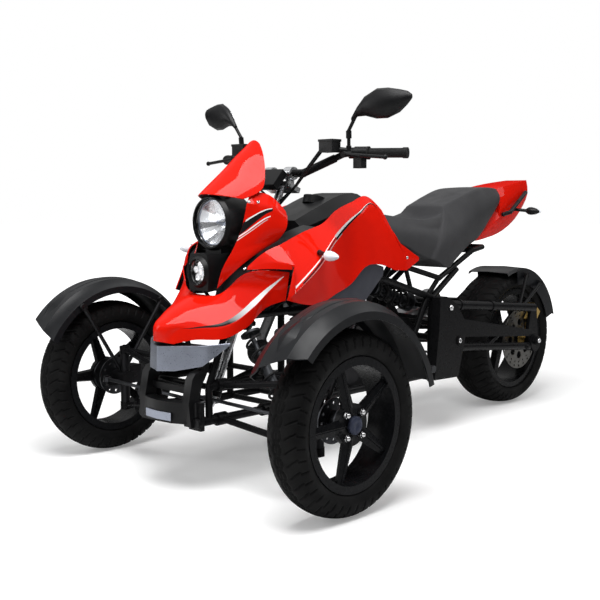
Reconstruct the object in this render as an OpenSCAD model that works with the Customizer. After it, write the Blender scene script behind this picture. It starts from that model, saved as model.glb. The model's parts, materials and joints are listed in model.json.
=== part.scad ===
// Motor trike: two steered front wheels, one driven rear wheel, tube frame, angular bodywork.
// Construction frame in mm: x forward from the front axle, y to the left, z up from the floor.
// The dispatch at the end moves it so that the origin is the bottom centre of the whole trike.

/* [Layout] */
// distance from the front axle line to the rear axle
wheelbase = 1776; // [1700:1:1850]
// distance between the centre planes of the front wheels
track = 1180; // [1140:1:1230]
// steering axis to wheel centre plane
kingpin_offset = 100; // [90:1:115]

/* [Front wheels] */
// outer diameter of a front tyre
front_tyre_d = 562; // [545:1:580]
// width of a front tyre
front_tyre_w = 130; // [118:1:140]
// bead seat diameter of a front rim
front_rim_d = 381; // [370:1:390]
// number of spokes of a front rim
front_spokes = 5; // [4:1:7]
// diameter of a front brake disc
front_disc_d = 140; // [130:1:160]

/* [Rear wheel] */
// outer diameter of the rear tyre
rear_tyre_d = 606; // [590:1:620]
// width of the rear tyre
rear_tyre_w = 190; // [170:1:196]
// height of the rear tyre's section over the rim
rear_section = 87; // [80:1:92]
// diameter of the rear brake disc
rear_disc_d = 276; // [240:1:290]
// pitch diameter of the rear sprocket
sprocket_d = 216; // [190:1:240]

/* [Suspension and steering] */
// half spacing of the two eyes on a front knuckle
eye_half = 104; // [96:1:112]
// length of the steering arms and of the drop arm
arm_len = 80; // [70:1:90]
// lean of the steering column from upright, in degrees
column_lean = 25; // [23:0.5:27]
// radius of the wishbone tubes
wishbone_r = 11; // [9:0.5:13]
// outer radius of a front coil spring
spring_r = 33; // [28:1:36]

/* [Frame] */
// radius of the main frame tubes
tube_r = 14; // [11:0.5:16]
// distance from the middle plane to a frame side
frame_y = 130; // [124:1:136]
// height of the lower frame rails
rail_low_z = 235; // [225:1:245]
// height of the upper frame rails at the front
rail_top_z = 560; // [545:1:575]

/* [Handlebar] */
// radius of the handlebar tube
bar_r = 11; // [10:0.5:14]
// radius of the handlebar's thick middle
bar_mid_r = 14; // [11:0.5:16]
// radius of the rubber grips
grip_r = 16.5; // [15:0.5:19]
// half width of the handlebar
bar_half = 438; // [420:1:480]
// spacing of the two bar risers
riser_gap = 98; // [80:1:120]

/* [Bodywork] */
// thickness of the moulded panels
skin = 4; // [3:0.5:5]
// radius of the headlamp lens
headlamp_r = 81; // [75:1:86]
// radius of the small lower lamp lens
aux_r = 42; // [36:1:46]
// half width of a front mudguard
fender_half = 90; // [84:1:94]
// gap from front tyre to mudguard lip
fender_gap = 34; // [28:1:40]
// gap from rear tyre to hugger
hugger_gap = 22; // [16:1:28]

/* [Hidden] */
$fn = 48;
weld = 1.06;
fit = 0.3;
slide = 0.06;
front_r = front_tyre_d / 2;
rear_r = rear_tyre_d / 2;
rear_bead_r = rear_r - rear_section;
wheel_y = track / 2;
king_y = wheel_y - kingpin_offset;
eye_low_z = front_r - eye_half;
eye_top_z = front_r + eye_half;
eye_h = 28;
tie_z = front_r + 4;
axle_x = -wheelbase;
fender_r = front_r + fender_gap;
hugger_r = rear_r + hugger_gap;
origin_x = (wheelbase + hugger_r * cos(16) - (fender_r + 50) * cos(36)) / 2;
flange_x = -300;

// Vectors
function unit(v) = v / norm(v);
function flip(p) = [p[0], -p[1], p[2]];

// Puts its children at p with their z axis towards q
module along(p, q) {
  d = q - p;
  translate(p) rotate([0, acos(d[2] / norm(d)), atan2(d[1], d[0])]) children();
}

// A round bar from point p to point q
module rod(p, q, r) {
  along(p, q) cylinder(h = norm(q - p), r = r);
}

// A welded run of round bars through several points
module run(points, r) {
  for (i = [0 : len(points) - 2]) rod(points[i], points[i + 1], r);
  for (i = [1 : len(points) - 2]) translate(points[i]) sphere(r = r * weld);
}

// The same thing on both sides of the middle plane
module both() {
  children();
  mirror([0, 1, 0]) children();
}

// A ring between two radii, along z from z0 to z1
module ring(r1, r2, z0, z1) {
  difference() {
    translate([0, 0, z0]) cylinder(h = z1 - z0, r = r2);
    translate([0, 0, z0 - 1]) cylinder(h = z1 - z0 + 2, r = r1);
  }
}

// A box given by two corners
module box(a, b) {
  translate(a) cube(b - a);
}

// Curves through a list of points, smooth apart from the points listed as sharp
function hop(p, i) = norm(p[i + 1] - p[i]);
function way(p, i) = (p[i + 1] - p[i]) / hop(p, i);
function soft(p, i, sharp) = i > 0 && i < len(p) - 1 && len(search(i, sharp)) == 0;
function flow(p, i) = (way(p, i - 1) * hop(p, i) + way(p, i) * hop(p, i - 1)) / (hop(p, i) + hop(p, i - 1));
function leave(p, i, sharp) = soft(p, i, sharp) ? flow(p, i)
  : soft(p, i + 1, sharp) ? 1.5 * way(p, i) - 0.5 * flow(p, i + 1) : way(p, i);
function reach(p, i, sharp) = soft(p, i + 1, sharp) ? flow(p, i + 1)
  : soft(p, i, sharp) ? 1.5 * way(p, i) - 0.5 * flow(p, i) : way(p, i);
function hermite(p, q, a, b, t) = p + (q - p) * t * t * (3 - 2 * t)
  + a * t * (1 - t) * (1 - t) - b * t * t * (1 - t);
function curve(p, n, sharp) = concat(
  [for (i = [0 : len(p) - 2]) for (k = [0 : n - 1])
    hermite(p[i], p[i + 1], leave(p, i, sharp) * hop(p, i), reach(p, i, sharp) * hop(p, i), k / n)],
  [p[len(p) - 1]]);

// Grid surfaces: rows run front to back, columns left to right or low to high
function turned(g) = [for (j = [0 : len(g[0]) - 1]) [for (row = g) row[j]]];
function smooth(g, n, m, rows = [], cols = []) =
  turned([for (c = turned([for (r = g) curve(r, m, cols)])) curve(c, n, rows)]);
function clip(k, n) = max(0, min(k, n - 1));
function grid_n(g, i, j) = let(n = len(g), m = len(g[0]))
  unit(cross(g[clip(i + 1, n)][j] - g[clip(i - 1, n)][j], g[i][clip(j + 1, m)] - g[i][clip(j - 1, m)]));
function inner(g, t) = [for (i = [0 : len(g) - 1])
  [for (j = [0 : len(g[0]) - 1]) g[i][j] - t * grid_n(g, i, j)]];
function flat(g) = [for (row = g) for (p = row) p];
function cell(g, i, j) = (g[i][j] + g[i + 1][j + 1]) / 2;
function cell_n(g, i, j) = unit(cross(g[i + 1][j + 1] - g[i][j], g[i][j + 1] - g[i + 1][j]));
// Two triangles of a cell, split along its other diagonal on the mirrored half
function quad(a, b, c, d, other = false) = other ? [[a, b, d], [b, c, d]] : [[a, b, c], [a, c, d]];

// A panel of even thickness behind a grid of outer points
module sheet(g, t, mirrored = false) {
  n = len(g);
  m = len(g[0]);
  s = n * m;
  e = s - m;
  half = mirrored ? (m - 1) / 2 : m;
  skin_faces = [for (i = [0 : n - 2]) for (j = [0 : m - 2])
    each quad(i * m + j, i * m + j + 1, (i + 1) * m + j + 1, (i + 1) * m + j, j >= half)];
  faces = concat(
    skin_faces,
    [for (f = skin_faces) [s + f[2], s + f[1], s + f[0]]],
    [for (i = [0 : n - 2]) each quad(i * m, (i + 1) * m, s + (i + 1) * m, s + i * m)],
    [for (i = [1 : n - 1]) each quad(i * m + m - 1, i * m - 1, s + i * m - 1, s + i * m + m - 1)],
    [for (j = [0 : m - 2]) each quad(j + 1, j, s + j, s + j + 1)],
    [for (j = [0 : m - 2]) each quad(e + j, e + j + 1, s + e + j + 1, s + e + j)]);
  polyhedron(points = concat(flat(g), flat(inner(g, t))), faces = faces);
}

// A solid through a list of closed sections, front to back
module loft(g) {
  n = len(g);
  m = len(g[0]);
  faces = concat(
    [for (i = [0 : n - 2]) for (j = [0 : m - 1])
      each quad(i * m + j, i * m + (j + 1) % m, (i + 1) * m + (j + 1) % m, (i + 1) * m + j,
        j >= (m - 1) / 2)],
    [[for (j = [m - 1 : -1 : 0]) j]],
    [[for (j = [0 : m - 1]) (n - 1) * m + j]]);
  polyhedron(points = flat(g), faces = faces);
}

// A rubber foot that stops just short of a panel, on a stay from a frame point
module stay(from, g, t, i, j, side = 1, r = 6) {
  p0 = cell(inner(g, t), i, j);
  n0 = cell_n(g, i, j);
  p = side > 0 ? p0 : flip(p0);
  n = side > 0 ? n0 : flip(n0);
  c = p - n * (9 + fit);
  rod(from, c, r);
  translate(c) sphere(r = 9);
}

// Centre of a round foot that stops just short of the outside of a panel or body
function foot_out(g, i, j, r = 9) = cell(g, i, j) + cell_n(g, i, j) * (r + fit);

// Left wheel places: local z points outward, along the axle
module at_front() {
  translate([0, wheel_y, front_r]) rotate([-90, 0, 0]) children();
}
module at_rear() {
  translate([axle_x, 0, rear_r]) rotate([-90, 0, 0]) children();
}

// Tyre section in radius and offset: [part of the height, part of the half width]
tyre_side = [[0, 0.70], [0.16, 0.70], [0.19, 0.84], [0.34, 0.96], [0.48, 1.00], [0.64, 0.97], [0.80, 0.84],
             [0.92, 0.60],
             [0.98, 0.30], [1, 0]];
module tyre(bead_r, r, w) {
  half = [for (p = tyre_side) [bead_r + p[0] * (r - bead_r), p[1] * w / 2]];
  other = [for (k = [len(half) - 2 : -1 : 0]) [half[k][0], -half[k][1]]];
  rotate_extrude() polygon(concat(half, other));
}

module tyre_front_left() {
  color("#202122") at_front() tyre(front_rim_d / 2 + fit, front_r, front_tyre_w);
}
module tyre_front_right() {
  mirror([0, 1, 0]) tyre_front_left();
}

// Rim barrel with two flanges; w is the width between the flanges
module barrel(bead_r, w, tyre_r) {
  lip_r = bead_r + 0.144 * (tyre_r - bead_r);
  rotate_extrude()
    polygon([[bead_r - 12, -w / 2 - 7], [lip_r, -w / 2 - 7], [lip_r, -w / 2], [bead_r, -w / 2],
             [bead_r, w / 2], [lip_r, w / 2], [lip_r, w / 2 + 7], [bead_r - 12, w / 2 + 7]]);
}

front_rim_w = front_tyre_w * 0.70 + 2;
// One sloped half of a spoke; two meet in a ridge
module half_spoke(bead_r) {
  translate([0, 0, 42]) rotate([-20, 0, 0]) translate([0, 0, -14]) linear_extrude(14)
    polygon([[30, -3], [bead_r - 8, -3], [bead_r - 8, 15], [60, 25], [40, 27]]);
}
module rim_front_left() {
  bead_r = front_rim_d / 2;
  color("#2b2c2e") at_front() difference() {
    union() {
      barrel(bead_r, front_rim_w, front_r);
      translate([0, 0, 18]) cylinder(h = 18.5, r = 64);
      translate([0, 0, 30]) cylinder(h = 19, r = 27);
      for (k = [0 : front_spokes - 1]) rotate([0, 0, 360 / front_spokes * k]) {
        half_spoke(bead_r);
        mirror([0, 1, 0]) half_spoke(bead_r);
      }
      for (k = [0 : 3]) rotate([0, 0, 90 * k + 45]) translate([48, 0, 36])
        cylinder(h = 13, r = 10, $fn = 6);
    }
    translate([0, 0, 10]) cylinder(h = 20, r = 32 + slide);
  }
}
module rim_front_right() {
  mirror([0, 1, 0]) rim_front_left();
}

module hub_front_left() {
  color("#b9bcc0") at_front() difference() {
    union() {
      translate([0, 0, -37]) cylinder(h = 66.5, r = 32);
      translate([0, 0, 10]) cylinder(h = 8 - fit, r = 60);
      drilled([[12, 5, front_disc_d / 2 - 14]], -60)
        translate([0, 0, -42]) cylinder(h = 5, r = front_disc_d / 2);
    }
    translate([0, 0, -50]) cylinder(h = 62, r = 14 + slide);
  }
}
module hub_front_right() {
  mirror([0, 1, 0]) hub_front_left();
}

rear_rim_w = rear_tyre_w * 0.70 + 2;
module tyre_rear() {
  color("#202122") at_rear() tyre(rear_bead_r + fit, rear_r, rear_tyre_w);
}
module rim_rear() {
  bead_r = rear_bead_r;
  color("#2b2c2e") at_rear() difference() {
    union() {
      barrel(bead_r, rear_rim_w, rear_r);
      translate([0, 0, -100]) cylinder(h = 200, r = 42);
      for (s = [-1, 1]) translate([0, 0, 92 * s - 8]) cylinder(h = 16, r = 62);
      for (k = [0 : 4]) rotate([0, 0, 72 * k]) translate([0, 0, -16]) linear_extrude(32)
        polygon([[36, -20], [bead_r - 8, -13], [bead_r - 8, 13], [36, 20]]);
    }
    translate([0, 0, -110]) cylinder(h = 220, r = 12 + slide);
  }
}
// Brake disc on the left, chain sprocket on the right
// Drilled rings: [count, hole radius, place radius]
disc_holes = [[20, 5, 126], [20, 4, 108], [8, 17, 76]];
module drilled(holes, z) {
  difference() {
    children();
    for (h = holes) for (k = [0 : h[0] - 1])
      rotate([0, 0, 360 / h[0] * k]) translate([h[2], 0, z]) cylinder(h = 40, r = h[1]);
  }
}
module rear_discs() {
  color("#a9acb0") at_rear() {
    drilled(disc_holes, 90) ring(44, rear_disc_d / 2, 100 + fit, 105 + fit);
    drilled([[6, 18, 72]], -120) ring(44, sprocket_d / 2 - 4, -107 - fit, -100 - fit);
  }
}

// Knuckle with king pins, stub axle, steering arm, brake caliper and mudguard stays
module knuckle_left() {
  pad_r = fender_r + 10;
  color("#3a3b3d") difference() {
    union() {
      rod([0, king_y, eye_low_z + eye_h / 2 + fit], [0, king_y, eye_top_z - eye_h / 2 - fit], 17);
      rod([0, king_y, eye_low_z - 18], [0, king_y, eye_top_z + 18], 8);
      rod([0, king_y - 22, front_r], [0, wheel_y - 48, front_r], 26);
      rod([0, wheel_y - 60, front_r], [0, wheel_y + 10, front_r], 14);
      rod([0, king_y, tie_z - 18], [arm_len, king_y, tie_z - 18], 10);
      rod([arm_len, king_y, tie_z - 18], [arm_len, king_y, tie_z + 14], 6);
      rod([0, king_y + 20, front_r], [-76, wheel_y - 57, front_r], 12);
      box([-100, wheel_y - 64, front_r - 34], [-48, wheel_y - 16, front_r + 34]);
      for (a = [58, 122]) {
        run([[0, king_y + 16, front_r + 12],
          [pad_r * cos(a), wheel_y - fender_half - 9, front_r + pad_r * sin(a)]], 7);
        rod([pad_r * cos(a), wheel_y - fender_half - 14, front_r + pad_r * sin(a)],
            [pad_r * cos(a), wheel_y - fender_half - fit, front_r + pad_r * sin(a)], 13);
      }
    }
    rod([0, wheel_y - 47.5, front_r], [0, wheel_y - 31.5, front_r], front_disc_d / 2 + 6);
    rod([0, wheel_y - 48, front_r], [0, wheel_y + 40, front_r], 38);
  }
  color("#3a3b3d") rod([0, wheel_y - 60, front_r], [0, wheel_y + 10, front_r], 14);
}
module knuckle_right() {
  mirror([0, 1, 0]) knuckle_left();
}

// Mudguard section: [radius over the lip, offset]
fender_out = [[0, 1], [24, 1], [37, 0.68], [50, 0.5], [53, 0]];
fender_from = 28;
fender_to = 166;
module fender_left() {
  half = [for (p = fender_out) [fender_r + p[0], p[1] * fender_half]];
  back = [for (k = [len(half) - 2 : -1 : 0]) [half[k][0], -half[k][1]]];
  in_half = [for (p = fender_out) [fender_r + max(0, p[0] - 3.4), p[1] * (fender_half - 3.4)]];
  in_back = [for (k = [len(half) - 2 : -1 : 0]) [in_half[k][0], -in_half[k][1]]];
  in_all = concat(in_half, in_back);
  rim = concat(half, back, [for (k = [len(in_all) - 1 : -1 : 0]) in_all[k]]);
  color("#2a2b2d") translate([0, wheel_y, front_r]) rotate([90, 0, 0]) difference() {
    rotate([0, 0, fender_from]) rotate_extrude(angle = fender_to - fender_from) polygon(rim);
    rotate([0, 0, fender_from + 8]) rotate([24, 0, 0]) translate([200, -300, -300]) cube([300, 300, 600]);
  }
}
module fender_right() {
  mirror([0, 1, 0]) fender_left();
}

// Steering geometry: the drop arm ends at the same x and z as the steering arms
column_dir = [-sin(column_lean), 0, cos(column_lean)];
drop_dir = [cos(column_lean), 0, sin(column_lean)];
column_low = [arm_len, 0, tie_z] - arm_len * drop_dir;
function on_column(z) = column_low + column_dir * ((z - column_low[2]) / column_dir[2]);

// Tie rods share one drop arm pin: the left eye sits above the right one
eye_step = 8.5;
module tie_rod(up) {
  a = [arm_len, king_y, tie_z];
  b = [arm_len, 0, tie_z + up];
  color("#8d9094") difference() {
    union() {
      rod(a + [0, -10, 0], b + [0, 14, 0], 6);
      rod(a - [0, 0, 7.7], a + [0, 0, 7.7], 15);
      rod(b - [0, 0, 7], b + [0, 0, 7], 18);
    }
    rod(a - [0, 0, 20], a + [0, 0, 20], 6 + slide);
    rod(b - [0, 0, 20], b + [0, 0, 20], 11);
  }
}
module tie_rod_left() {
  tie_rod(eye_step);
}
module tie_rod_right() {
  mirror([0, 1, 0]) tie_rod(-eye_step);
}

// Column with drop arm below and bar clamps on top
bar_c = [-330, 0, 1030];
module steering_column() {
  top = on_column(972);
  color("#55585c") difference() {
    union() {
      rod(column_low - column_dir * 4, top, 14);
      translate(top) rotate([0, -column_lean, 0]) translate([-26, -70, 0]) cube([62, 140, 18]);
      for (s = [-1, 1]) {
        rod(top + [4, s * riser_gap / 2, 6], bar_c + [0, s * riser_gap / 2, 0], 15);
        rod(bar_c + [0, s * riser_gap / 2 - 18, 0], bar_c + [0, s * riser_gap / 2 + 18, 0], bar_mid_r + 9);
        translate(bar_c + [-26, s * riser_gap / 2 - 16, -3]) cube([52, 32, 6]);
      }
      rod(column_low + column_dir * 8, [arm_len + 8, 0, tie_z - 33], 11);
      rod([arm_len, 0, tie_z - 36], [arm_len, 0, tie_z + 26], 6);
    }
    rod(bar_c - [0, 120, 0], bar_c + [0, 120, 0], bar_mid_r);
  }
}

// Handlebar bends: points of the left half
bar_bend = [bar_c + [0, 112, 0], [-402, 245, 1097]];
bar_out = unit([-80, 210, -3]);
bar_end = bar_bend[1] + bar_out * ((bar_half - 245) / bar_out[1]);
grip_in = bar_end - bar_out * 130;
module handlebar() {
  taper = bar_bend[0] * 0.25 + bar_bend[1] * 0.75;
  color("#232425") both() {
    run([bar_c, bar_bend[0], taper], bar_mid_r);
    run([taper, bar_bend[1], bar_end], bar_r);
  }
}
module grips() {
  color("#1d1d1e") both() difference() {
    union() {
      rod(grip_in, bar_end, grip_r);
      rod(grip_in, grip_in + bar_out * 7, grip_r + 6);
      rod(bar_end - bar_out * 4, bar_end + bar_out * 12, grip_r + 2);
    }
    rod(grip_in - bar_out * 10, bar_end, bar_r);
  }
}
// Switch boxes, lever clamps, levers, fluid pots, cables and the instrument behind the screen
clamp_in = grip_in - bar_out * 64;
clamp_c = clamp_in + bar_out * 15;
lever_tip = [-373, bar_half, 1077];
pot = [-346, clamp_c[1] - 52, 1098];
dash = [-266, 0, 1008];
// Front face of the fork yoke, which carries the instrument
yoke_n = [cos(column_lean), 0, sin(column_lean)];
yoke_front = on_column(972) + yoke_n * 36 + [-sin(column_lean), 0, cos(column_lean)] * 9;
// Cable routes in front of the bar, on the left half
cables = [[pot + [4, -24, 12], [-320, 166, 1064], [-306, 104, 990], on_column(934) + [4, 19, 0]],
          [pot + [16, -24, 12], [-308, 158, 1054], [-296, 98, 978], on_column(916) + [4, 19, 0]]];
module bar_controls() {
  color("#1f2021") {
    both() difference() {
      union() {
        rod(grip_in - bar_out * 44, grip_in - bar_out * fit, 22);
        rod(clamp_in, clamp_in + bar_out * 30, 19);
        rod(clamp_c, clamp_c + [62, 4, -8], 10);
        run([clamp_c + [54, 2, -5], clamp_c + [48, 70, -12], lever_tip], 6);
        translate(lever_tip) sphere(r = 8.5);
        rod(clamp_c + [14, 0, 6], pot + [0, 0, 12], 10);
        translate(pot - [22, 30, 0]) cube([44, 60, 36]);
        translate(pot - [24, 32, -36]) cube([48, 64, 8]);
        translate(grip_in - bar_out * 42 + [-14, 0, -52]) cube([28, 36, 40]);
        rod(clamp_c + [22, -4, -6], clamp_c + [22, -4, 24], 9);
        rod(clamp_c, clamp_c + [22, -4, 0], 9);
      }
      rod(clamp_in - bar_out * 60, grip_in + bar_out * 20, bar_r + slide);
    }
    both() for (c = cables) run(c, 4);
    translate(dash) rotate([0, -42, 0]) {
      translate([-14, -62, -36]) cube([28, 124, 72]);
      rotate([0, -90, 0]) translate([0, 0, 10]) cylinder(h = 8, r = 31);
    }
    rod(yoke_front + yoke_n * fit, yoke_front + yoke_n * 40, 9);
  }
}
// Mirror heads along their length: [place, low z, high z, bulge of the back]
mirror_rows = [[0, -8, 8, 8], [22, 7, 40, 15], [52, 8, 74, 23], [94, -3, 96, 29], [136, -3, 96, 29],
               [180, 14, 88, 23],
               [208, 38, 81, 13], [222, 55, 71, 5]];
mirror_root = [-382, 288, 1208];
mirror_out = [-0.18, 0.984, 0];
mirror_face = [0.984, 0.18, 0];
mirror_grid = [for (m = mirror_rows) [for (k = [0 : 11]) let(a = 30 * k, b = cos(a) > 0 ? m[3] : 6)
               mirror_root + mirror_out * m[0] + mirror_face * b * cos(a)
               + [0, 0, (m[1] + m[2]) / 2 + (m[2] - m[1]) / 2 * sin(a)]]];
module mirrors() {
  base = clamp_c + [22, -4, 24 + fit];
  elbow = base + [2, 1, 50];
  color("#1b1c1d") both() {
    run([base, elbow, mirror_root + mirror_out * 16 + [0, 0, 14]], 6);
    rod(base + [0, 0, 24], elbow, 9.5);
    loft(mirror_grid);
  }
}

// Front wishbones: [eye height above centre, pivot height, front and rear sleeve places along x]
wish_low = [eye_low_z, rail_low_z, 76, -125];
wish_top = [eye_top_z, 345, 76, -125];
shock_low = [-8, king_y - 100, eye_low_z + 30];
module wishbone(w) {
  difference() {
    union() {
      rod([0, king_y, w[0] - eye_h / 2], [0, king_y, w[0] + eye_h / 2], 19);
      for (x = [w[2], w[3]]) {
        rod([0, king_y - 10, w[0]], [x, frame_y + 14, w[1]], wishbone_r);
        rod([x - 20, frame_y, w[1]], [x + 20, frame_y, w[1]], tube_r + 7);
      }
      children();
    }
    rod([0, king_y, w[0] - 40], [0, king_y, w[0] + 40], 8 + slide);
    rod([w[3] - 60, frame_y, w[1]], [w[2] + 60, frame_y, w[1]], tube_r + fit / 2);
  }
}
module wishbones() {
  color("#242527") both() {
    wishbone(wish_low) {
      rod(shock_low - [36, 0, 0], shock_low + [36, 0, 0], 8);
      for (s = [-1, 1]) rod(shock_low + [s * 30, 0, 4], shock_low + [s * 30, 0, -30], 9);
    }
    wishbone(wish_top);
  }
}

// Dampers: eye, body, collar, rod, upper eye
shock_top = [-8, 164, rail_top_z - 24];
module damper(a, b, eye_r, coil_r) {
  d = unit(b - a);
  len_ab = norm(b - a);
  difference() {
    union() {
      for (p = [a, b]) rod(p - [11, 0, 0], p + [11, 0, 0], eye_r + 9);
      rod(a, a + d * len_ab * 0.62, coil_r - 16);
      rod(a, b, 8);
      rod(a + d * 30, a + d * 38, coil_r + 1);
      rod(b - d * 38, b - d * 30, coil_r + 1);
    }
    for (p = [a, b]) rod(p - [30, 0, 0], p + [30, 0, 0], eye_r + fit / 2);
  }
}
module front_dampers() {
  color("#6d7074") both() damper(shock_low, shock_top, 8, spring_r);
}
rear_shock_a = [-1108, 0, 505];
rear_shock_b = [-800, 0, 610];
module rear_shock() {
  color("#6d7074") rotate_about_z(rear_shock_a, rear_shock_b);
}
module rotate_about_z(a, b) {
  d = unit(b - a);
  len_ab = norm(b - a);
  difference() {
    union() {
      for (p = [a, b]) rod(p - [0, 13, 0], p + [0, 13, 0], 20);
      rod(a, a + d * len_ab * 0.62, 20);
      rod(a, b, 9);
      rod(a + d * 34, a + d * 42, 39);
      rod(b - d * 42, b - d * 34, 39);
    }
    for (p = [a, b]) rod(p - [0, 30, 0], p + [0, 30, 0], 10 + fit / 2);
  }
}

// A coil spring between two seats as a loft of square wire
module coil(a, b, r, wire, turns) {
  d = b - a;
  h = norm(d);
  steps = 14 * turns;
  pts = [for (k = [0 : steps]) let(t = k / steps, z = wire + t * (h - 2 * wire), w = 360 * turns * t)
    for (q = [[1, -1], [1, 1], [-1, 1], [-1, -1]])
      [(r + q[0] * wire) * cos(w), (r + q[0] * wire) * sin(w), z + q[1] * wire]];
  faces = concat(
    [for (k = [0 : steps - 1]) for (j = [0 : 3]) [k * 4 + j, k * 4 + (j + 1) % 4, k * 4 + 4 + (j + 1) % 4]],
    [for (k = [0 : steps - 1]) for (j = [0 : 3]) [k * 4 + j, k * 4 + 4 + (j + 1) % 4, k * 4 + 4 + j]],
    [[3, 2, 1, 0], [for (j = [0 : 3]) steps * 4 + j]]);
  translate(a) rotate([0, acos(d[2] / h), atan2(d[1], d[0])]) polyhedron(points = pts, faces = faces);
}
module springs() {
  d = unit(shock_top - shock_low);
  e = unit(rear_shock_b - rear_shock_a);
  color("#b3232a") {
    both() coil(shock_low + d * (38 + fit), shock_top - d * (38 + fit), spring_r - 5, 4.5, 7);
    coil(rear_shock_a + e * (42 + fit), rear_shock_b - e * (42 + fit), 33, 5.5, 5);
  }
}

// Front frame: bottom and wishbone rails along x, hoops, column bearings, body stays
hoop_x = [-200, 126];
wish_top_z = 345;
module front_frame() {
  b_low = on_column(300);
  b_top = on_column(790);
  color("#1c1d1e") difference() {
    union() {
      both() {
        rod([flange_x, frame_y, rail_low_z], [bumper_back - fit, frame_y, rail_low_z], tube_r);
        rod([hoop_x[0], frame_y, wish_top_z], [hoop_x[1], frame_y, wish_top_z], tube_r);
        rod([flange_x, frame_y, rail_top_z], [32, frame_y, rail_top_z], tube_r);
        rod([hoop_x[0], frame_y, rail_low_z - 8], [hoop_x[0], frame_y, rail_top_z + 8], tube_r - 2);
        rod([hoop_x[1], frame_y, rail_low_z - 8], [hoop_x[1], frame_y, wish_top_z + 8], tube_r - 2);
        rod([hoop_x[1], frame_y, wish_top_z + 4], [32, frame_y, rail_top_z], tube_r - 3);
        for (k = [-32, 22]) rod([shock_top[0] + k, frame_y, rail_top_z], shock_top + [k, 0, 0], 8.5);
        rod(shock_top - [34, 0, 0], shock_top + [24, 0, 0], 8);
        rod([hoop_x[0], frame_y, rail_top_z], b_top + [0, 10, 0], 11);
        stay([-140, frame_y, rail_top_z], panel_skin, skin, 10, 1);
        stay([-222, 82, 652], duct_skin, 3, 7, 1);
      }
      for (s = [-1, 1]) stay([20, s * frame_y, rail_top_z], beak_skin, skin, 10, 4, s);
      for (x = hoop_x) for (z = [rail_low_z, wish_top_z])
        rod([x, -frame_y, z], [x, frame_y, z], tube_r - 4);
      rod([26, -frame_y, rail_top_z], [26, frame_y, rail_top_z], tube_r - 4);
      rod(b_low - column_dir * 24, b_low + column_dir * 24, 25);
      rod(b_top - column_dir * 26, b_top + column_dir * 26, 25);
      rod(b_low, [hoop_x[0], 0, wish_top_z], 11);
      rod(b_top, [-176, 0, lamp_c[2]], 11);
      rod([-180, 0, lamp_c[2]], [lamp_c[0] - 128 - fit, 0, lamp_c[2]], 17);
    }
    rod(column_low - column_dir * 100, on_column(1000), 14 + slide);
  }
}

// Frame side runs in x and z: lists of points, then the tube radius of each run
side_runs = [[[flange_x, rail_low_z], [-1062, rail_low_z]],
             [[flange_x, rail_top_z], [-345, rail_top_z], [-560, 650], [-740, 640], [-1070, 542]],
             [[-735, 632], [-800, 700], [-1110, 622], [-1345, 726], [-1420, 738]],
             [[-560, 650], [-850, rail_low_z], [-1030, 553]],
             [[-1060, 545], [-1230, 653]], [[-1104, 622], [-1032, 556]], [[-922, 588], [-886, 676]]];
side_run_r = [tube_r, tube_r, 11, 12, 12, 10, 9];
pivot = [-1170, 0, 365];
module side_tubes(extra) {
  for (k = [0 : len(side_runs) - 1])
    run([for (p = side_runs[k]) [p[0], frame_y, p[1]]], side_run_r[k] + extra);
}
module side_plate(extra) {
  rod([-1068, frame_y, rail_low_z - 10], [-1066, frame_y, 548], 20 + extra);
  translate([0, frame_y + 6 + extra, 0]) rotate([90, 0, 0]) linear_extrude(12 + 2 * extra)
    polygon([[-1060, 520], [-1085, 500], [-1200, 400], [-1200, 330], [-1110, 250], [-1060, 250]]);
}
module frame_sides() {
  color("#1c1d1e") both() difference() {
    union() {
      side_tubes(0);
      side_plate(0);
      stay([-450, frame_y, 604], panel_skin, skin, 16, 0);
      stay([-800, frame_y, 700], panel_skin, skin, 28, 0);
      stay([-500, frame_y, 625], cover_skin, skin, 4, 1);
    }
    rod(pivot, pivot + [0, 300, 0], 14 + fit / 2);
  }
}
// Tubes across the frame, shaped to the side rails, with tank, seat and tail posts
across = [[-560, 650], [-740, 640], [-800, 700], [-1066, 440], [-1345, 726], [-1420, 738],
          [-1066, rail_low_z],
          [-340, rail_low_z]];
// Height of the underside of seat and tail, and a post with a rubber foot under it
function seat_low(x) = lookup(x, [for (r = seat_skin) [r[0][0], r[0][2]]]);
function tail_low(x) = lookup(x, [for (r = tail_front_skin) [r[0][0], r[0][2]]]);
module post(x, y, z, z0, z1) {
  c = (z0 + z1) / 2 - (9 + fit) / cos(atan((z1 - z0) / 12));
  rod([x, y, z], [x, y, c], 7);
  translate([x, y, c]) sphere(r = 9);
}
module cross_members() {
  color("#1c1d1e") difference() {
    union() {
      for (p = across) rod([p[0], -frame_y, p[1]], [p[0], frame_y, p[1]], 11);
      for (s = [-1, 1]) {
        rod([-560, s * 56, 650], [-560, s * 56, tank_low - fit], 9);
        rod([-740, s * 50, 640], [-740, s * 50, tank_low - fit], 9);
        post(-800, s * 60, 700, seat_low(-806), seat_low(-794));
        post(-1345, s * 60, 726, seat_low(-1351), seat_low(-1339));
        post(-1420, s * 34, 738, tail_low(-1426), tail_low(-1414));
        rod([-800, s * 21, 602], [-800, s * 21, 700], 7);
      }
      rod([-800, -24, 610], [-800, 24, 610], 10);
    }
    both() {
      side_tubes(0.05);
      side_plate(0.05);
    }
  }
}

// Rear arm: a tube truss on each side with axle, pivot tube and cross brace
arm_y = 172;
arm_head = [-1066, 520];
arm_foot = [-1190, 335];
arm_tip = [axle_x - 4, rear_r + 148];
arm_heel = [axle_x + 8, rear_r - 26];
function on_top(u) = arm_head + u * (arm_tip - arm_head);
function on_low(u) = arm_foot + u * (arm_heel - arm_foot);
beam_end = [axle_x + 46, rear_r + 38];
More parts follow.
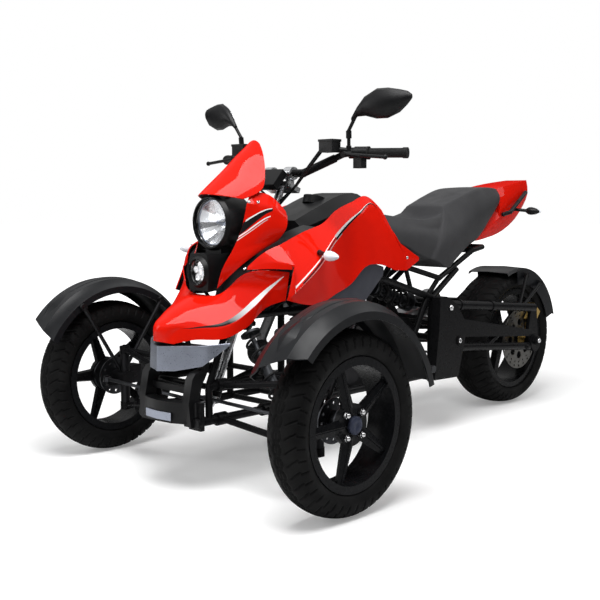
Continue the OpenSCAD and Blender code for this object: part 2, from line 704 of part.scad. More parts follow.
// Bars of one side of the rear arm: start, end, radius
arm_bars = [[arm_head, arm_tip, 19], [on_top(0.17), on_top(0.19), 22.5], [on_top(0.5), on_top(0.53), 22.5],
            [arm_foot, arm_heel, 17], [on_low(0.36), [axle_x + 222, rear_r + 80], 10]];
// Plates of one side: pivot box, tapered beam, axle plate
arm_plates = [[40, [[-1036, 550], [-1080, 552], [-1152, 516], [-1206, 448], [-1216, 384], [-1198, 326],
                    [-1166, 216], [-1004, 222], [-1014, 300], [-1030, 430]]],
              [22, [[-1198, 452], beam_end + [0, 16], beam_end + [-14, -16], [-1206, 376]]],
              [16, [arm_tip + [-14, 8], arm_tip + [30, 4], beam_end + [4, 0], [axle_x + 30, rear_r - 40],
                    [axle_x - 26, rear_r - 40], [axle_x - 34, rear_r + 10]]]];
module swingarm() {
  bobbin = [axle_x + 70, arm_y, rear_r - 22];
  color("#1a1b1c") difference() {
    union() {
      both() {
        for (b = arm_bars) rod([b[0][0], arm_y, b[0][1]], [b[1][0], arm_y, b[1][1]], b[2]);
        for (a = arm_plates)
          translate([0, arm_y + a[0] / 2, 0]) rotate([90, 0, 0]) linear_extrude(a[0]) polygon(a[1]);
        rod([pivot[0], arm_y + 10, pivot[2]], [pivot[0], arm_y + 26, pivot[2]], 19);
        rod([axle_x, arm_y - 19, rear_r - 12], [axle_x, arm_y + 19, rear_r - 12], 38);
        rod(bobbin - [0, 5, 0], bobbin + [0, 20, 0], 11);
        for (w = [96, 122]) {
          h = [axle_x + (hugger_r - 34) * cos(w), rear_tyre_w / 2 + 13 + fit,
            rear_r + (hugger_r - 34) * sin(w)];
          rod(h, h + [0, 14, 0], 13);
          rod(h + [0, 8, 0], [axle_x + 218 - w, arm_y, arm_tip[1] + 8], 8);
        }
        rod([axle_x, arm_y + 19, rear_r], [axle_x, arm_y + 34, rear_r], 19);
      }
      rod([pivot[0], -arm_y, pivot[2]], [pivot[0], arm_y, pivot[2]], 14);
      rod([-1108, -arm_y, 505], [-1108, arm_y, 505], 10);
      rod([axle_x, -arm_y - 34, rear_r], [axle_x, arm_y + 34, rear_r], 12);
    }
    both() rod(bobbin, bobbin + [0, 40, 0], 5);
  }
}

// Engine: case with round covers, finned leaning cylinder, head, output sprocket
module at_cylinder() {
  translate([-580, 0, 400]) rotate([0, 22, 0]) children();
}
module cylinder_head() {
  at_cylinder() translate([-74, -80, 170]) cube([148, 160, 52]);
}
module engine() {
  color("#3b3d40") {
    rotate([90, 0, 0]) translate([0, 0, -92]) linear_extrude(184)
      polygon([[-400, 262], [-440, 228], [-900, 228], [-1000, 290], [-1030, 400], [-960, 470], [-700, 440],
               [-520, 400]]);
    for (s = [-1, 1]) {
      rod([-560, s * 60, 330], [-560, s * 110, 330], 92);
      rod([-760, s * 60, 340], [-760, s * 108, 340], 104);
    }
    at_cylinder() {
      for (k = [0 : 6]) translate([-78, -84, 14 + 22 * k]) cube([156, 168, 9]);
      translate([-62, -68, -20]) cube([124, 136, 200]);
    }
    cylinder_head();
    rod([-1000, -80, 372], [-1000, -108, 372], 12);
    rod([-1000, -100.5, 372], [-1000, -107, 372], 38);
    for (s = [-1, 1]) for (x = [-480, -880])
      box([x - 22, s > 0 ? 80 : -115.7, 228], [x + 22, s > 0 ? 115.7 : -80, 252]);
  }
}
// Front pipe and silencer on the right
module exhaust() {
  pts = [[-428, -60, 560], [-400, -118, 520], [-398, -172, 420], [-440, -190, 272], [-560, -200, 246],
         [-1000, -226, 246],
         [-1200, -262, 318]];
  color("#77797c") {
    difference() {
      run(pts, 19);
      cylinder_head();
    }
    rod([-1200, -262, 318], [-1262, -268, 350], 30);
    rod([-1250, -268, 345], [-1600, -272, 470], 56);
    rod([-1598, -272, 469], [-1640, -273, 484], 30);
  }
}

// Beak, half sections front to back:
// [ridge x, z, valley x, y, z, shoulder x, y, z, crease x, y, z, low edge x, y, z]
beak_rows = [[226, 488, 225, 16, 488, 220, 30, 487, 212, 42, 485, 203, 51, 483],
             [230, 536, 226, 18, 536, 214, 36, 533, 194, 52, 525, 197, 56, 485],
             [186, 571, 180, 32, 569, 167, 62, 557, 155, 90, 531, 160, 92, 495],
             [124, 604, 111, 54, 600, 84, 110, 582, 66, 168, 544, 84, 164, 500],
             [78, 622, 62, 60, 619, 30, 134, 619, -7, 196, 592, 16, 190, 531],
             [48, 626, 42, 66, 627, 3, 139, 660, -71, 214, 648, -61, 204, 591],
             [22, 624, 27, 74, 631, -10, 160, 701, -118, 252, 704, -114, 238, 612]];
beak_half = [for (b = beak_rows)
  [[b[11], b[12], b[13]], [b[8], b[9], b[10]], [b[5], b[6], b[7]], [b[2], b[3], b[4]]]];
beak_grid = [for (i = [0 : len(beak_rows) - 1])
             concat(beak_half[i], [[beak_rows[i][0], 0, beak_rows[i][1]]],
             [for (k = [3 : -1 : 0]) flip(beak_half[i][k])])];
beak_skin = smooth(beak_grid, 3, 2, [], [1, 7]);
module beak() {
  color("#a01a20") sheet(beak_skin, skin, true);
}

// Fairing wing: rows front to back, points from the low edge over the fold to the tuck under the screen
wing_grid = [[[28, 62, 648], [18, 79, 715], [-10, 92, 768], [-40, 102, 832], [-60, 113, 925],
             [-90, 99, 964]],
             [[-40, 116, 729], [-62, 127, 760], [-80, 132, 790], [-102, 142, 845], [-126, 145, 918],
             [-142, 122, 958]],
             [[-162, 150, 800], [-166, 154, 806], [-172, 158, 814], [-194, 165, 848], [-204, 158, 880],
             [-208, 146, 900]]];
wing_skin = smooth(wing_grid, 4, 2, [], [2, 4]);
module headlamp_fairing() {
  color("#a01a20") both() sheet(wing_skin, skin);
}

// Flyscreen: [middle x, middle z, half width, sweep back of the edge, drop of the edge]
screen_rows = [[28, 959, 105, 79, 18], [-8, 986, 124, 111, 12], [-76, 1039, 100, 80, 12],
               [-140, 1092, 74, 37, 17],
               [-182, 1126, 50, 9, 19], [-199, 1142, 30, 0, 13]];
screen_grid = [for (s = screen_rows) [for (k = [1, 0.6, 0, -0.6, -1])
               [s[0] - s[3] * k * k, s[2] * k, s[1] - s[4] * k * k]]];
screen_skin = smooth(screen_grid, 2, 3);
module flyscreen() {
  color("#a01a20") sheet(screen_skin, skin, true);
}

// Lamp housing: two bowls and the web between them
lamp_c = [-7, 0, 863];
aux_c = [54, 0, 702];
module lamp_pod() {
  color("#161617") difference() {
    union() {
      rod(lamp_c + [4, 0, 0], lamp_c - [104, 0, 0], headlamp_r + 9);
      rod(lamp_c - [104, 0, 0], lamp_c - [128, 0, 0], headlamp_r - 26);
      bezel(lamp_c, headlamp_r);
      bezel(aux_c, aux_r - 1);
      translate([-70, 0, 0]) rotate([90, 0, 90]) linear_extrude(70 + aux_c[0])
        polygon([[-46, 640], [46, 640], [aux_r + 8, 676], [aux_r + 8, 728], [40, 762], [-40, 762],
          [-aux_r - 8, 728],
                 [-aux_r - 8, 676]]);
      box([-92, -38, 730], [lamp_c[0] - 4, 38, 802]);
      both() {
        stay([-60, 36, 765], wing_skin, skin, 3, 2);
        stay([-60, 30, 930], screen_skin, skin, 2, 4);
      }
    }
    rod(lamp_c - [8, 0, 0], lamp_c + [20, 0, 0], headlamp_r + fit);
    along(lamp_c - [74, 0, 0], lamp_c) cylinder(h = 67, r1 = 24, r2 = headlamp_r - 6);
    rod(aux_c - [8, 0, 0], aux_c + [20, 0, 0], aux_r + fit);
    along(aux_c - [40, 0, 0], aux_c) cylinder(h = 33, r1 = 20, r2 = aux_r - 5);
  }
}
// Sloped ring around a lens
module bezel(c, r) {
  along(c, c + [1, 0, 0]) cylinder(h = 13, r1 = r + 12, r2 = r + 4);
}
// Domed lens of even thickness with its foot on the ledge of the housing
module lens(c, r, rise) {
  outer = [for (k = [0 : 6]) [k / 6 * r, 5 + rise * (1 - k * k / 36)]];
  under = [for (k = [6 : -1 : 0]) [k / 6 * (r - 5), 2 + rise * (1 - k * k / 36)]];
  along(c - [8 - fit, 0, 0], c) rotate_extrude() polygon(concat(outer, [[r, 0], [r - 5, 0]], under));
}
module lamp_lenses() {
  color("#d9dde2") {
    lens(lamp_c, headlamp_r, 8);
    lens(aux_c, aux_r, 4);
  }
}

// Tank side panel columns front to back: points on the low edge, the fold and the high edge
panel_grid = [[[-17, 158, 713], [-19, 158, 718], [-23, 155, 723]],
              [[-70, 223, 716], [-74, 222, 737], [-64, 190, 769]],
              [[-114, 273, 714], [-117, 276, 729], [-118, 208, 792]],
              [[-76, 284, 618], [-106, 292, 640], [-150, 212, 806]],
              [[-200, 290, 594], [-212, 296, 722], [-222, 208, 830]],
              [[-340, 258, 620], [-352, 243, 806], [-345, 190, 859]],
              [[-465, 222, 648], [-470, 198, 856], [-445, 158, 900]],
              [[-545, 213, 698], [-566, 168, 892], [-560, 135, 931]],
              [[-655, 190, 702], [-660, 145, 925], [-650, 123, 952]],
              [[-770, 170, 674], [-735, 153, 850], [-740, 127, 900]],
              [[-850, 164, 668], [-842, 162, 724], [-800, 160, 780]],
              [[-926, 163, 702], [-930, 163, 709], [-928, 162, 716]]];
panel_skin = smooth(panel_grid, 3, 2, [2, 3, 9], [1]);
module tank_panels() {
  color("#a01a20") both() sheet(panel_skin, skin);
}
// Black duct between wing, beak and panel: rows front to back, outer and inner edge
duct_grid = [[[20, 72, 621], [6, 60, 654]], [[2, 114, 654], [-20, 78, 698]],
             [[-24, 150, 690], [-56, 102, 734]],
             [[-68, 180, 756], [-112, 112, 770]], [[-122, 198, 780], [-178, 124, 806]],
             [[-154, 202, 794], [-200, 130, 822]],
             [[-226, 198, 818], [-246, 134, 838]], [[-326, 182, 844], [-312, 128, 852]]];
duct_skin = smooth(duct_grid, 2, 2);
module side_ducts() {
  color("#161617") both() sheet(duct_skin, 3);
}

// Tank cover sections: [x, top z, top half width, shoulder z, half width]
tank_rows = [[-322, 866, 76, 838, 112], [-440, 916, 84, 876, 126], [-560, 956, 80, 912, 118],
             [-660, 960, 74, 916, 106], [-720, 930, 70, 890, 100], [-756, 896, 66, 860, 96]];
tank_low = 724;
tank_grid = [for (t = tank_rows) [[t[0], t[4], tank_low], [t[0], t[4], t[3]], [t[0], t[2], t[1]],
             [t[0], -t[2], t[1]], [t[0], -t[4], t[3]], [t[0], -t[4], tank_low]]];
module tank_cover() {
  color("#2c2d2f") {
    loft(smooth(tank_grid, 3, 1));
    rod([-500, 0, 920], [-508, 0, 948], 42);
  }
}

// Lower side cover: low, middle and high points
cover_grid = [[[-236, 262, 560], [-250, 268, 580], [-262, 268, 612]],
              [[-330, 242, 520], [-350, 248, 570], [-360, 244, 632]],
              [[-430, 218, 500], [-450, 224, 580], [-470, 214, 658]],
              [[-560, 188, 560], [-560, 194, 630], [-570, 194, 706]],
              [[-700, 168, 655], [-700, 172, 675], [-700, 172, 690]]];
cover_skin = smooth(cover_grid, 2, 2);
module side_covers() {
  color("#3a3b3e") both() sheet(cover_skin, skin);
}

// Seat sections: [x, top z, top half width, middle z, half width, low z, half width]
seat_rows = [[-762, 888, 84, 850, 112, 792, 130], [-860, 874, 100, 828, 138, 762, 150],
             [-940, 870, 110, 812, 148, 730, 156],
             [-1060, 879, 114, 790, 158, 690, 162], [-1130, 892, 110, 776, 158, 664, 162],
             [-1186, 912, 98, 792, 150, 690, 152], [-1300, 950, 104, 846, 140, 742, 134],
             [-1420, 984, 104, 884, 128, 782, 112], [-1520, 990, 98, 914, 118, 858, 102],
             [-1590, 984, 84, 944, 104, 912, 94]];
seat_grid = [for (s = seat_rows) [[s[0], s[6], s[5]], [s[0], s[4], s[3]], [s[0], s[2], s[1]],
             [s[0], -s[2], s[1]], [s[0], -s[4], s[3]], [s[0], -s[6], s[5]]]];
seat_skin = smooth(seat_grid, 2, 2, [], [0, 2, 3, 5]);
module seat() {
  color("#343539") loft(seat_skin);
}

// Tail cowl sections: [x, top z, top half width, middle z, half width, low z, half width]
tail_rows = [[-1400, 766, 40, 760, 60, 756, 60], [-1470, 812, 60, 790, 88, 762, 74],
             [-1540, 868, 74, 830, 98, 772, 74],
             [-1594, 908, 78, 860, 102, 780, 72]];
tail_rear = [[-1592, 986, 84, 900, 104, 780, 72], [-1680, 1002, 82, 920, 100, 800, 64],
             [-1800, 1018, 70, 945, 84, 850, 52],
             [-1890, 1028, 54, 966, 62, 912, 40]];
function tail_grid(rows) = [for (s = rows) [[s[0], s[6], s[5]], [s[0], s[4], s[3]], [s[0], s[2], s[1]],
             [s[0], -s[2], s[1]], [s[0], -s[4], s[3]], [s[0], -s[6], s[5]]]];
tail_front_skin = smooth(tail_grid(tail_rows), 2, 2, [], [0, 2, 3, 5]);
tail_rear_skin = smooth(tail_grid(tail_rear), 2, 2, [], [0, 2, 3, 5]);
module tail_cowl() {
  color("#a01a20") {
    loft(tail_front_skin);
    loft(tail_rear_skin);
  }
}
module tail_lamp() {
  color("#7d1016") box([-1912, -34, 926], [-1890 - fit, 34, 958]);
}
module grab_rails() {
  color("#171718") both() {
    a = foot_out(tail_rear_skin, 0, 1, 10);
    b = foot_out(tail_rear_skin, 4, 2, 10);
    run([a, a + [-26, 18, 10], (a + b) / 2 + [0, 20, 8], b + [22, 16, 2], b], 9);
    for (p = [a, b]) translate(p) sphere(r = 10);
  }
}
// Turn lamps: front pair on the tank panels, rear pair on the tail; shell and lens each take half of a
// drop shape
front_turn = [[-204, 330, 759], [-192, 402, 756]];
rear_turn = [[-1742, 146, 889], [-1756, 214, 885]];
module drop_half(ends, side) {
  x = (ends[0][0] + ends[1][0]) / 2 + 0.5 * fit * side;
  intersection() {
    along(ends[0], ends[1]) rotate_extrude() polygon([[0, 0], [9, 0], [16, 11], [17.5, 24], [14, 44],
      [7, 62], [0, 70]]);
    box([side > 0 ? x : x - 60, 0, 600], [side > 0 ? x + 60 : x, 600, 1000]);
  }
}
module turn_stems(r) {
  rod(foot_out(panel_skin, 12, 2), front_turn[0] + [-6, 10, 0], r);
  rod(foot_out(tail_rear_skin, 2, 1), rear_turn[0] + [5, 9, 0], r);
}
module indicators() {
  color("#1a1b1c") both() {
    translate(foot_out(panel_skin, 12, 2)) sphere(r = 9);
    translate(foot_out(tail_rear_skin, 2, 1)) sphere(r = 9);
    turn_stems(7);
    drop_half(front_turn, -1);
    drop_half(rear_turn, 1);
  }
}
module indicator_lenses() {
  color("#d5d9de") both() difference() {
    union() {
      drop_half(front_turn, 1);
      drop_half(rear_turn, -1);
    }
    turn_stems(7 + fit);
  }
}

// Bumper: lower beam, towers, cross bars and feet
bumper_back = 164;
module bumper() {
  color("#191a1b") union() {
    translate([0, 0, 232]) linear_extrude(68)
      polygon([[bumper_back, 150], [202, 108], [224, 60], [232, 0], [224, -60], [202, -108],
        [bumper_back, -150],
               [bumper_back, -118], [190, 0], [bumper_back, 118]]);
    translate([0, 0, 462]) linear_extrude(10)
      polygon(concat([for (k = [1 : 5]) [trim_rows[k][1] - 12, trim_rows[k][0] * 0.94]],
        [[96, -90], [110, 0], [96, 90]]));
    both() {
      translate([0, 128, 0]) rotate([90, 0, 0]) linear_extrude(34)
        polygon([[bumper_back, 216], [200, 224], [208, 300], [192, 376], [178, 394], [142, 402], [136, 468],
          [116, 468],
                 [124, 400], [154, 350], [bumper_back, 300]]);
      box([bumper_back, 94, 212], [180, 152, 302]);
      rod([bumper_back + 6, 138, 236], [190, 138, 236], 16);
    }
    box([156, -120, 322], [176, 120, 344]);
    box([118, -128, 440], [136, 128, 470]);
    for (k = [1, 4]) {
      c = foot_out(trim_grid, k, 0);
      rod([128, c[1] > 0 ? 100 : -100, 455], c, 7);
      translate(c) sphere(r = 9);
    }
  }
}
// Grey insert over the bumper: [y, x, low z, high z]
trim_rows = [[185, 84, 478, 486], [130, 152, 414, 480], [60, 208, 398, 478], [0, 228, 394, 474],
             [-60, 208, 398, 478],
             [-130, 152, 414, 480], [-185, 84, 478, 486]];
trim_grid = [for (t = trim_rows) [[t[1], t[0], t[2]], [t[1] - 4, t[0], t[3]]]];
module bumper_trim() {
  color("#86898d") {
    sheet(trim_grid, skin);
    translate([0, 0, 240]) linear_extrude(26)
      polygon([[226, 62], [232 + fit, 0], [226, -62], [229, -64], [237, 0], [229, 64]]);
  }
}
module horn() {
  color("#202122") {
    rod([-92, 150, 437], [-62, 158, 437], 40);
    difference() {
      rod([-196, 132, 437], [-92, 150, 437], 11);
      rod([hoop_x[0], frame_y, wish_top_z], [hoop_x[0], frame_y, rail_top_z], tube_r - 2 + fit / 2);
    }
  }
}

// Rear hugger: crown over the tyre and flanks behind the axle
module hugger() {
  h = rear_tyre_w / 2 + 13;
  color("#19191a") translate([axle_x, 0, rear_r]) rotate([90, 0, 0]) {
    rotate([0, 0, 70]) rotate_extrude(angle = 94)
      polygon([[hugger_r - 14, h], [hugger_r - 14, h - 3.5], [hugger_r - 3.5, h - 8], [hugger_r, 0],
        [hugger_r - 3.5, -h + 8],
               [hugger_r - 14, -h + 3.5], [hugger_r - 14, -h], [hugger_r, -h + 6], [hugger_r + 4, 0],
               [hugger_r, h - 6]]);
    for (s = [-1, 1]) rotate([0, 0, 84]) rotate_extrude(angle = 78)
      polygon([[hugger_r - 76, s * h], [hugger_r - 76, s * (h - 3.5)], [hugger_r - 10, s * (h - 3.5)],
        [hugger_r - 10, s * h]]);
  }
}
module footpegs() {
  color("#4a4c4f") both() {
    box([-890, frame_y + 12 + fit, 262], [-810, frame_y + 24, 330]);
    rod([-850, frame_y + 18, 300], [-850, 300, 300], 14);
  }
}
// Chain around the two sprockets: the band between two belts
module belt(grow) {
  hull() {
    translate([-1000, 372]) circle(r = 38.6 + grow);
    translate([axle_x, rear_r]) circle(r = sprocket_d / 2 - 3.4 + grow);
  }
}
module drive_chain() {
  color("#2f3032") translate([0, -100, 0]) rotate([90, 0, 0]) linear_extrude(8) difference() {
    belt(10);
    belt(0);
  }
}
module rear_caliper() {
  color("#b08d4a") translate([axle_x, 0, rear_r]) rotate([0, 52, 0]) difference() {
    union() {
      box([-176, 84, -36], [-88, 130, 36]);
      rod([-120, 124, 0], [0, 124, 0], 12);
      rod([0, 114, 0], [0, arm_y - 19 - fit, 0], 30);
    }
    rod([0, 95, 0], [0, 111, 0], rear_disc_d / 2 + 6);
    rod([0, 80, 0], [0, 200, 0], 12 + fit);
  }
}

// Moves the construction frame to the origin of the part
module place() {
  translate([origin_x, 0, 0]) children();
}

place() frame_sides();
place() cross_members();
place() front_frame();
place() swingarm();
place() rear_shock();
place() springs();
place() engine();
place() exhaust();
place() wishbones();
place() front_dampers();
place() beak();
place() headlamp_fairing();
place() flyscreen();
place() lamp_pod();
place() lamp_lenses();
place() tank_panels();
place() side_ducts();
place() tank_cover();
place() side_covers();
place() seat();
place() tail_cowl();
place() tail_lamp();
place() grab_rails();
place() indicators();
place() indicator_lenses();
place() bumper();
place() bumper_trim();
place() horn();
place() hugger();
place() footpegs();
place() drive_chain();
place() rear_caliper();
place() handlebar();
place() steering_column();
place() grips();
place() bar_controls();
place() mirrors();
place() knuckle_left();
place() knuckle_right();
place() fender_left();
place() fender_right();
place() tie_rod_left();
place() tie_rod_right();
place() tyre_front_left();
place() tyre_front_right();
place() rim_front_left();
place() rim_front_right();
place() hub_front_left();
place() hub_front_right();
place() tyre_rear();
place() rim_rear();
place() rear_discs();
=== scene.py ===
# %% [markdown]
# # Dressing a motor trike
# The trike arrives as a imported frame: every tube, panel and wheel is already a solid at its real size.
# This lesson gives those solids their finishes, and makes the pieces whose looks need finer surfaces
# than the solids carry: painted skins, tyres with tread, the seat, springs, the lamps' insides and bolts.

# %% Load the frame
import json

import bmesh
import bpy
import numpy as np
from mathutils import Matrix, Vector


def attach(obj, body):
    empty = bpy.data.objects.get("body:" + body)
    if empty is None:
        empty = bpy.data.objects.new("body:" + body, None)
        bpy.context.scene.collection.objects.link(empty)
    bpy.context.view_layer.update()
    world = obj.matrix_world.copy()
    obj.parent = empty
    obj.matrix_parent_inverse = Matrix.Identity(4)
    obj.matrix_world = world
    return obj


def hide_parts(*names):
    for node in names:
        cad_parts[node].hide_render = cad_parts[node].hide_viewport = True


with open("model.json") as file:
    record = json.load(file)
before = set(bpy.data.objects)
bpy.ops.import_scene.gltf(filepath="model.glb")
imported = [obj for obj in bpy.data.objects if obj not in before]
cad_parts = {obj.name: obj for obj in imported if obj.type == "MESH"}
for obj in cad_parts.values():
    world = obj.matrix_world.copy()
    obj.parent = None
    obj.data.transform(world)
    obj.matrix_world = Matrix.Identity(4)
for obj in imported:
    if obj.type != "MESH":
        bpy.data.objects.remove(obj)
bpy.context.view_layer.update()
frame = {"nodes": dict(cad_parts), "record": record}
nodes = frame["nodes"]

# %% [markdown]
# ## Camera
# The photo looks at the trike's left front from a little above the axles. A long lens and a camera some
# three metres off give its mild perspective. The lens follows from the focal length in pixels.

# %% Camera
sensor_width = 36.0
photo_width = 600.0
focal_pixels = 980.57
camera_place = Vector((3.0430, 2.4731, 0.9409))
view_azimuth = np.radians(133.84)
view_elevation = np.radians(5.88)
toward_camera = Vector((np.sin(view_azimuth) * np.cos(view_elevation),
                        -np.cos(view_azimuth) * np.cos(view_elevation),
                        np.sin(view_elevation)))

camera_data = bpy.data.cameras.new("camera")
camera_data.sensor_width = sensor_width
camera_data.lens = sensor_width * (focal_pixels / photo_width)
camera = bpy.data.objects.new("camera", camera_data)
camera.location = camera_place
camera.rotation_euler = (-toward_camera).to_track_quat("-Z", "Y").to_euler()
bpy.context.scene.collection.objects.link(camera)
bpy.context.scene.camera = camera
bpy.context.scene.view_settings.view_transform = "Standard"
print("lens:", round(camera_data.lens, 2), "mm")

# %% [markdown]
# ## Shader helpers
# Every finish starts from one Principled shader. A value that is the same all over the piece is set on the
# shader's own socket. Grain, wear and colour drift come from noise on Object coordinates, so they stay fixed
# to the piece when it turns. These helpers keep the recipes below short.


# %% Shader helpers
def new_finish(name, colour, roughness, metallic=0.0, **sockets):
    """A Principled material with constant sockets; returns the material and its shader node."""
    material = bpy.data.materials.new(name)
    material.use_nodes = True
    shader = material.node_tree.nodes["Principled BSDF"]
    shader.inputs["Base Color"].default_value = (*colour, 1.0)
    shader.inputs["Roughness"].default_value = roughness
    shader.inputs["Metallic"].default_value = metallic
    for socket, value in sockets.items():
        shader.inputs[socket.replace("_", " ")].default_value = value
    return material, shader


def add_node(material, kind, **inputs):
    """A new node of that kind, with input sockets set by name or number (as n0, n1)."""
    node = material.node_tree.nodes.new(kind)
    for key, value in inputs.items():
        place = int(key[1:]) if key[0] == "n" and key[1:].isdigit() else key.replace("_", " ")
        if isinstance(value, bpy.types.NodeSocket):
            material.node_tree.links.new(value, node.inputs[place])
        else:
            node.inputs[place].default_value = value
    return node


def object_place(material):
    """Object coordinates in metres, the same as the frame's own."""
    return add_node(material, "ShaderNodeTexCoord").outputs["Object"]


def noise(material, scale, detail=4.0, stretch=(1.0, 1.0, 1.0)):
    """Smooth noise from 0 to 1, with scale in waves a metre and an optional stretch along each axis."""
    mapping = add_node(material, "ShaderNodeMapping", Vector=object_place(material), Scale=stretch)
    texture = add_node(material, "ShaderNodeTexNoise", Vector=mapping.outputs[0], Scale=scale, Detail=detail)
    return texture.outputs["Fac"]


def spread(material, value, low, high, from_low=0.3, from_high=0.7):
    """Maps a value from one range to another, held at the ends."""
    node = add_node(material, "ShaderNodeMapRange", Value=value, From_Min=from_low, From_Max=from_high,
                    To_Min=low, To_Max=high)
    return node.outputs[0]


def tint(material, factor, first, second):
    """A colour between two colours by a factor."""
    node = material.node_tree.nodes.new("ShaderNodeMix")
    node.data_type = "RGBA"
    material.node_tree.links.new(factor, node.inputs["Factor"])
    for place, colour in ((6, first), (7, second)):
        if isinstance(colour, bpy.types.NodeSocket):
            material.node_tree.links.new(colour, node.inputs[place])
        else:
            node.inputs[place].default_value = (*colour, 1.0)
    return node.outputs[2]


def link(material, value, shader, socket):
    """Feeds a value into one of the shader's sockets."""
    material.node_tree.links.new(value, shader.inputs[socket])


def bump(material, shader, height, strength, distance=0.001):
    """Gives the shader a bump from a height value."""
    node = add_node(material, "ShaderNodeBump", Strength=strength, Distance=distance, Height=height)
    link(material, node.outputs["Normal"], shader, "Normal")


# %% [markdown]
# ## Finishes
# The real trike has few finishes, but each has its own grain. Painted red plastic has a clear coat and a faint
# ripple. Mudguards and covers are satin black plastic with a fine moulded grain. Frame tubes carry black powder
# coat, which is slightly lumpy. Metal parts differ in how rough they are and in the direction of their grain.


# %% Plastics and paints
def gloss_red(name):
    """Red gloss bodywork: clear coat with a faint ripple and a slow drift in colour."""
    material, shader = new_finish(name, (0.63, 0.008, 0.003), 0.26, Coat_Weight=0.28, Coat_Roughness=0.03)
    shader.inputs["Specular IOR Level"].default_value = 0.0
    drift = spread(material, noise(material, 3.0), 0.0, 1.0)
    link(material, tint(material, drift, (0.57, 0.007, 0.0022), (0.67, 0.010, 0.0032)), shader, "Base Color")
    link(material, spread(material, noise(material, 40.0), 0.20, 0.30), shader, "Roughness")
    bump(material, shader, noise(material, 60.0, 1.0), 0.006)
    return material, shader


def grained_plastic(name, colour, roughness, grain=900.0, strength=0.10):
    """Moulded plastic: fine leather-like grain, with rubbed patches that shine more."""
    material, shader = new_finish(name, colour, roughness)
    shader.inputs["Specular IOR Level"].default_value = 0.16
    lighter = tuple(c * 1.35 for c in colour)
    link(material, tint(material, noise(material, 9.0), colour, lighter), shader, "Base Color")
    link(material, spread(material, noise(material, 14.0), roughness - 0.06, roughness + 0.08), shader, "Roughness")
    bump(material, shader, noise(material, grain, 2.0), strength, 0.0004)
    return material


def powder_coat(name, colour, roughness):
    """Powder coat on steel tube: low lumps and a soft shine."""
    material, shader = new_finish(name, colour, roughness)
    shader.inputs["Specular IOR Level"].default_value = 0.06
    lighter = tuple(c * 1.5 + 0.002 for c in colour)
    link(material, tint(material, noise(material, 25.0), colour, lighter), shader, "Base Color")
    link(material, spread(material, noise(material, 60.0), roughness - 0.05, roughness + 0.1), shader, "Roughness")
    bump(material, shader, noise(material, 420.0, 1.0), 0.06, 0.0006)
    return material


def seat_vinyl():
    """Dark grey seat cover: pebble grain from small cells, with a soft sheen."""
    material, shader = new_finish("seat_vinyl", (0.034, 0.034, 0.036), 0.50, Sheen_Weight=0.02, Sheen_Roughness=0.4)
    shader.inputs["Specular IOR Level"].default_value = 0.12
    cells = add_node(material, "ShaderNodeTexVoronoi", Vector=object_place(material), Scale=520.0)
    drift = spread(material, noise(material, 7.0), 0.0, 1.0)
    link(material, tint(material, drift, (0.029, 0.029, 0.031), (0.038, 0.038, 0.040)), shader, "Base Color")
    link(material, spread(material, noise(material, 20.0), 0.46, 0.6), shader, "Roughness")
    bump(material, shader, cells.outputs["Distance"], 0.16, 0.0006)
    return material


# %% Rubber and metals
def tyre_rubber():
    """Tyre rubber: near black, greyer where dust settles, with a dull fine grain."""
    material, shader = new_finish("tyre_rubber", (0.005, 0.005, 0.0052), 0.60)
    shader.inputs["Specular IOR Level"].default_value = 0.07
    dust = spread(material, noise(material, 12.0, 6.0), 0.0, 1.0, 0.35, 0.75)
    link(material, tint(material, dust, (0.0035, 0.0035, 0.0037), (0.009, 0.009, 0.009)), shader, "Base Color")
    link(material, spread(material, noise(material, 30.0), 0.55, 0.72), shader, "Roughness")
    bump(material, shader, noise(material, 600.0, 3.0), 0.12, 0.0005)
    return material


def grip_rubber():
    """Grip rubber with turned ribs along the bar."""
    material, shader = new_finish("grip_rubber", (0.008, 0.008, 0.008), 0.6)
    shader.inputs["Specular IOR Level"].default_value = 0.16
    ribs = add_node(material, "ShaderNodeTexWave", Vector=object_place(material), Scale=70.0, Distortion=0.0)
    ribs.bands_direction = "Y"
    link(material, spread(material, noise(material, 80.0), 0.5, 0.7), shader, "Roughness")
    bump(material, shader, ribs.outputs["Fac"], 0.5, 0.0012)
    return material


def metal(name, colour, roughness, grain_scale=80.0, stretch=(1.0, 1.0, 1.0), strength=0.05, **sockets):
    """A metal with noise in its shine and a grain that can be drawn out along an axis."""
    material, shader = new_finish(name, colour, roughness, 1.0, **sockets)
    darker = tuple(c * 0.72 for c in colour)
    grain = noise(material, grain_scale, 5.0, stretch)
    link(material, tint(material, noise(material, 18.0), darker, colour), shader, "Base Color")
    link(material, spread(material, grain, max(roughness - 0.1, 0.04), roughness + 0.12), shader, "Roughness")
    bump(material, shader, grain, strength, 0.0004)
    return material


# %% Lenses
def clear_lens():
    """Clear lamp plastic: see-through, with a slight ripple."""
    material, shader = new_finish("clear_lens", (0.96, 0.97, 0.98), 0.03, IOR=1.45)
    shader.inputs["Transmission Weight"].default_value = 1.0
    link(material, spread(material, noise(material, 25.0), 0.015, 0.05), shader, "Roughness")
    bump(material, shader, noise(material, 60.0, 1.0), 0.03)
    return material


def red_lens():
    """Red lamp plastic with a fine prism grid behind the face."""
    material, shader = new_finish("red_lens", (0.42, 0.006, 0.006), 0.12, Coat_Weight=0.5, Coat_Roughness=0.05)
    prisms = add_node(material, "ShaderNodeTexVoronoi", Vector=object_place(material), Scale=260.0)
    prisms.distance = "CHEBYCHEV"
    link(material, tint(material, prisms.outputs["Distance"], (0.28, 0.003, 0.003), (0.55, 0.012, 0.010)),
         shader, "Base Color")
    bump(material, shader, prisms.outputs["Distance"], 0.2, 0.0008)
    return material


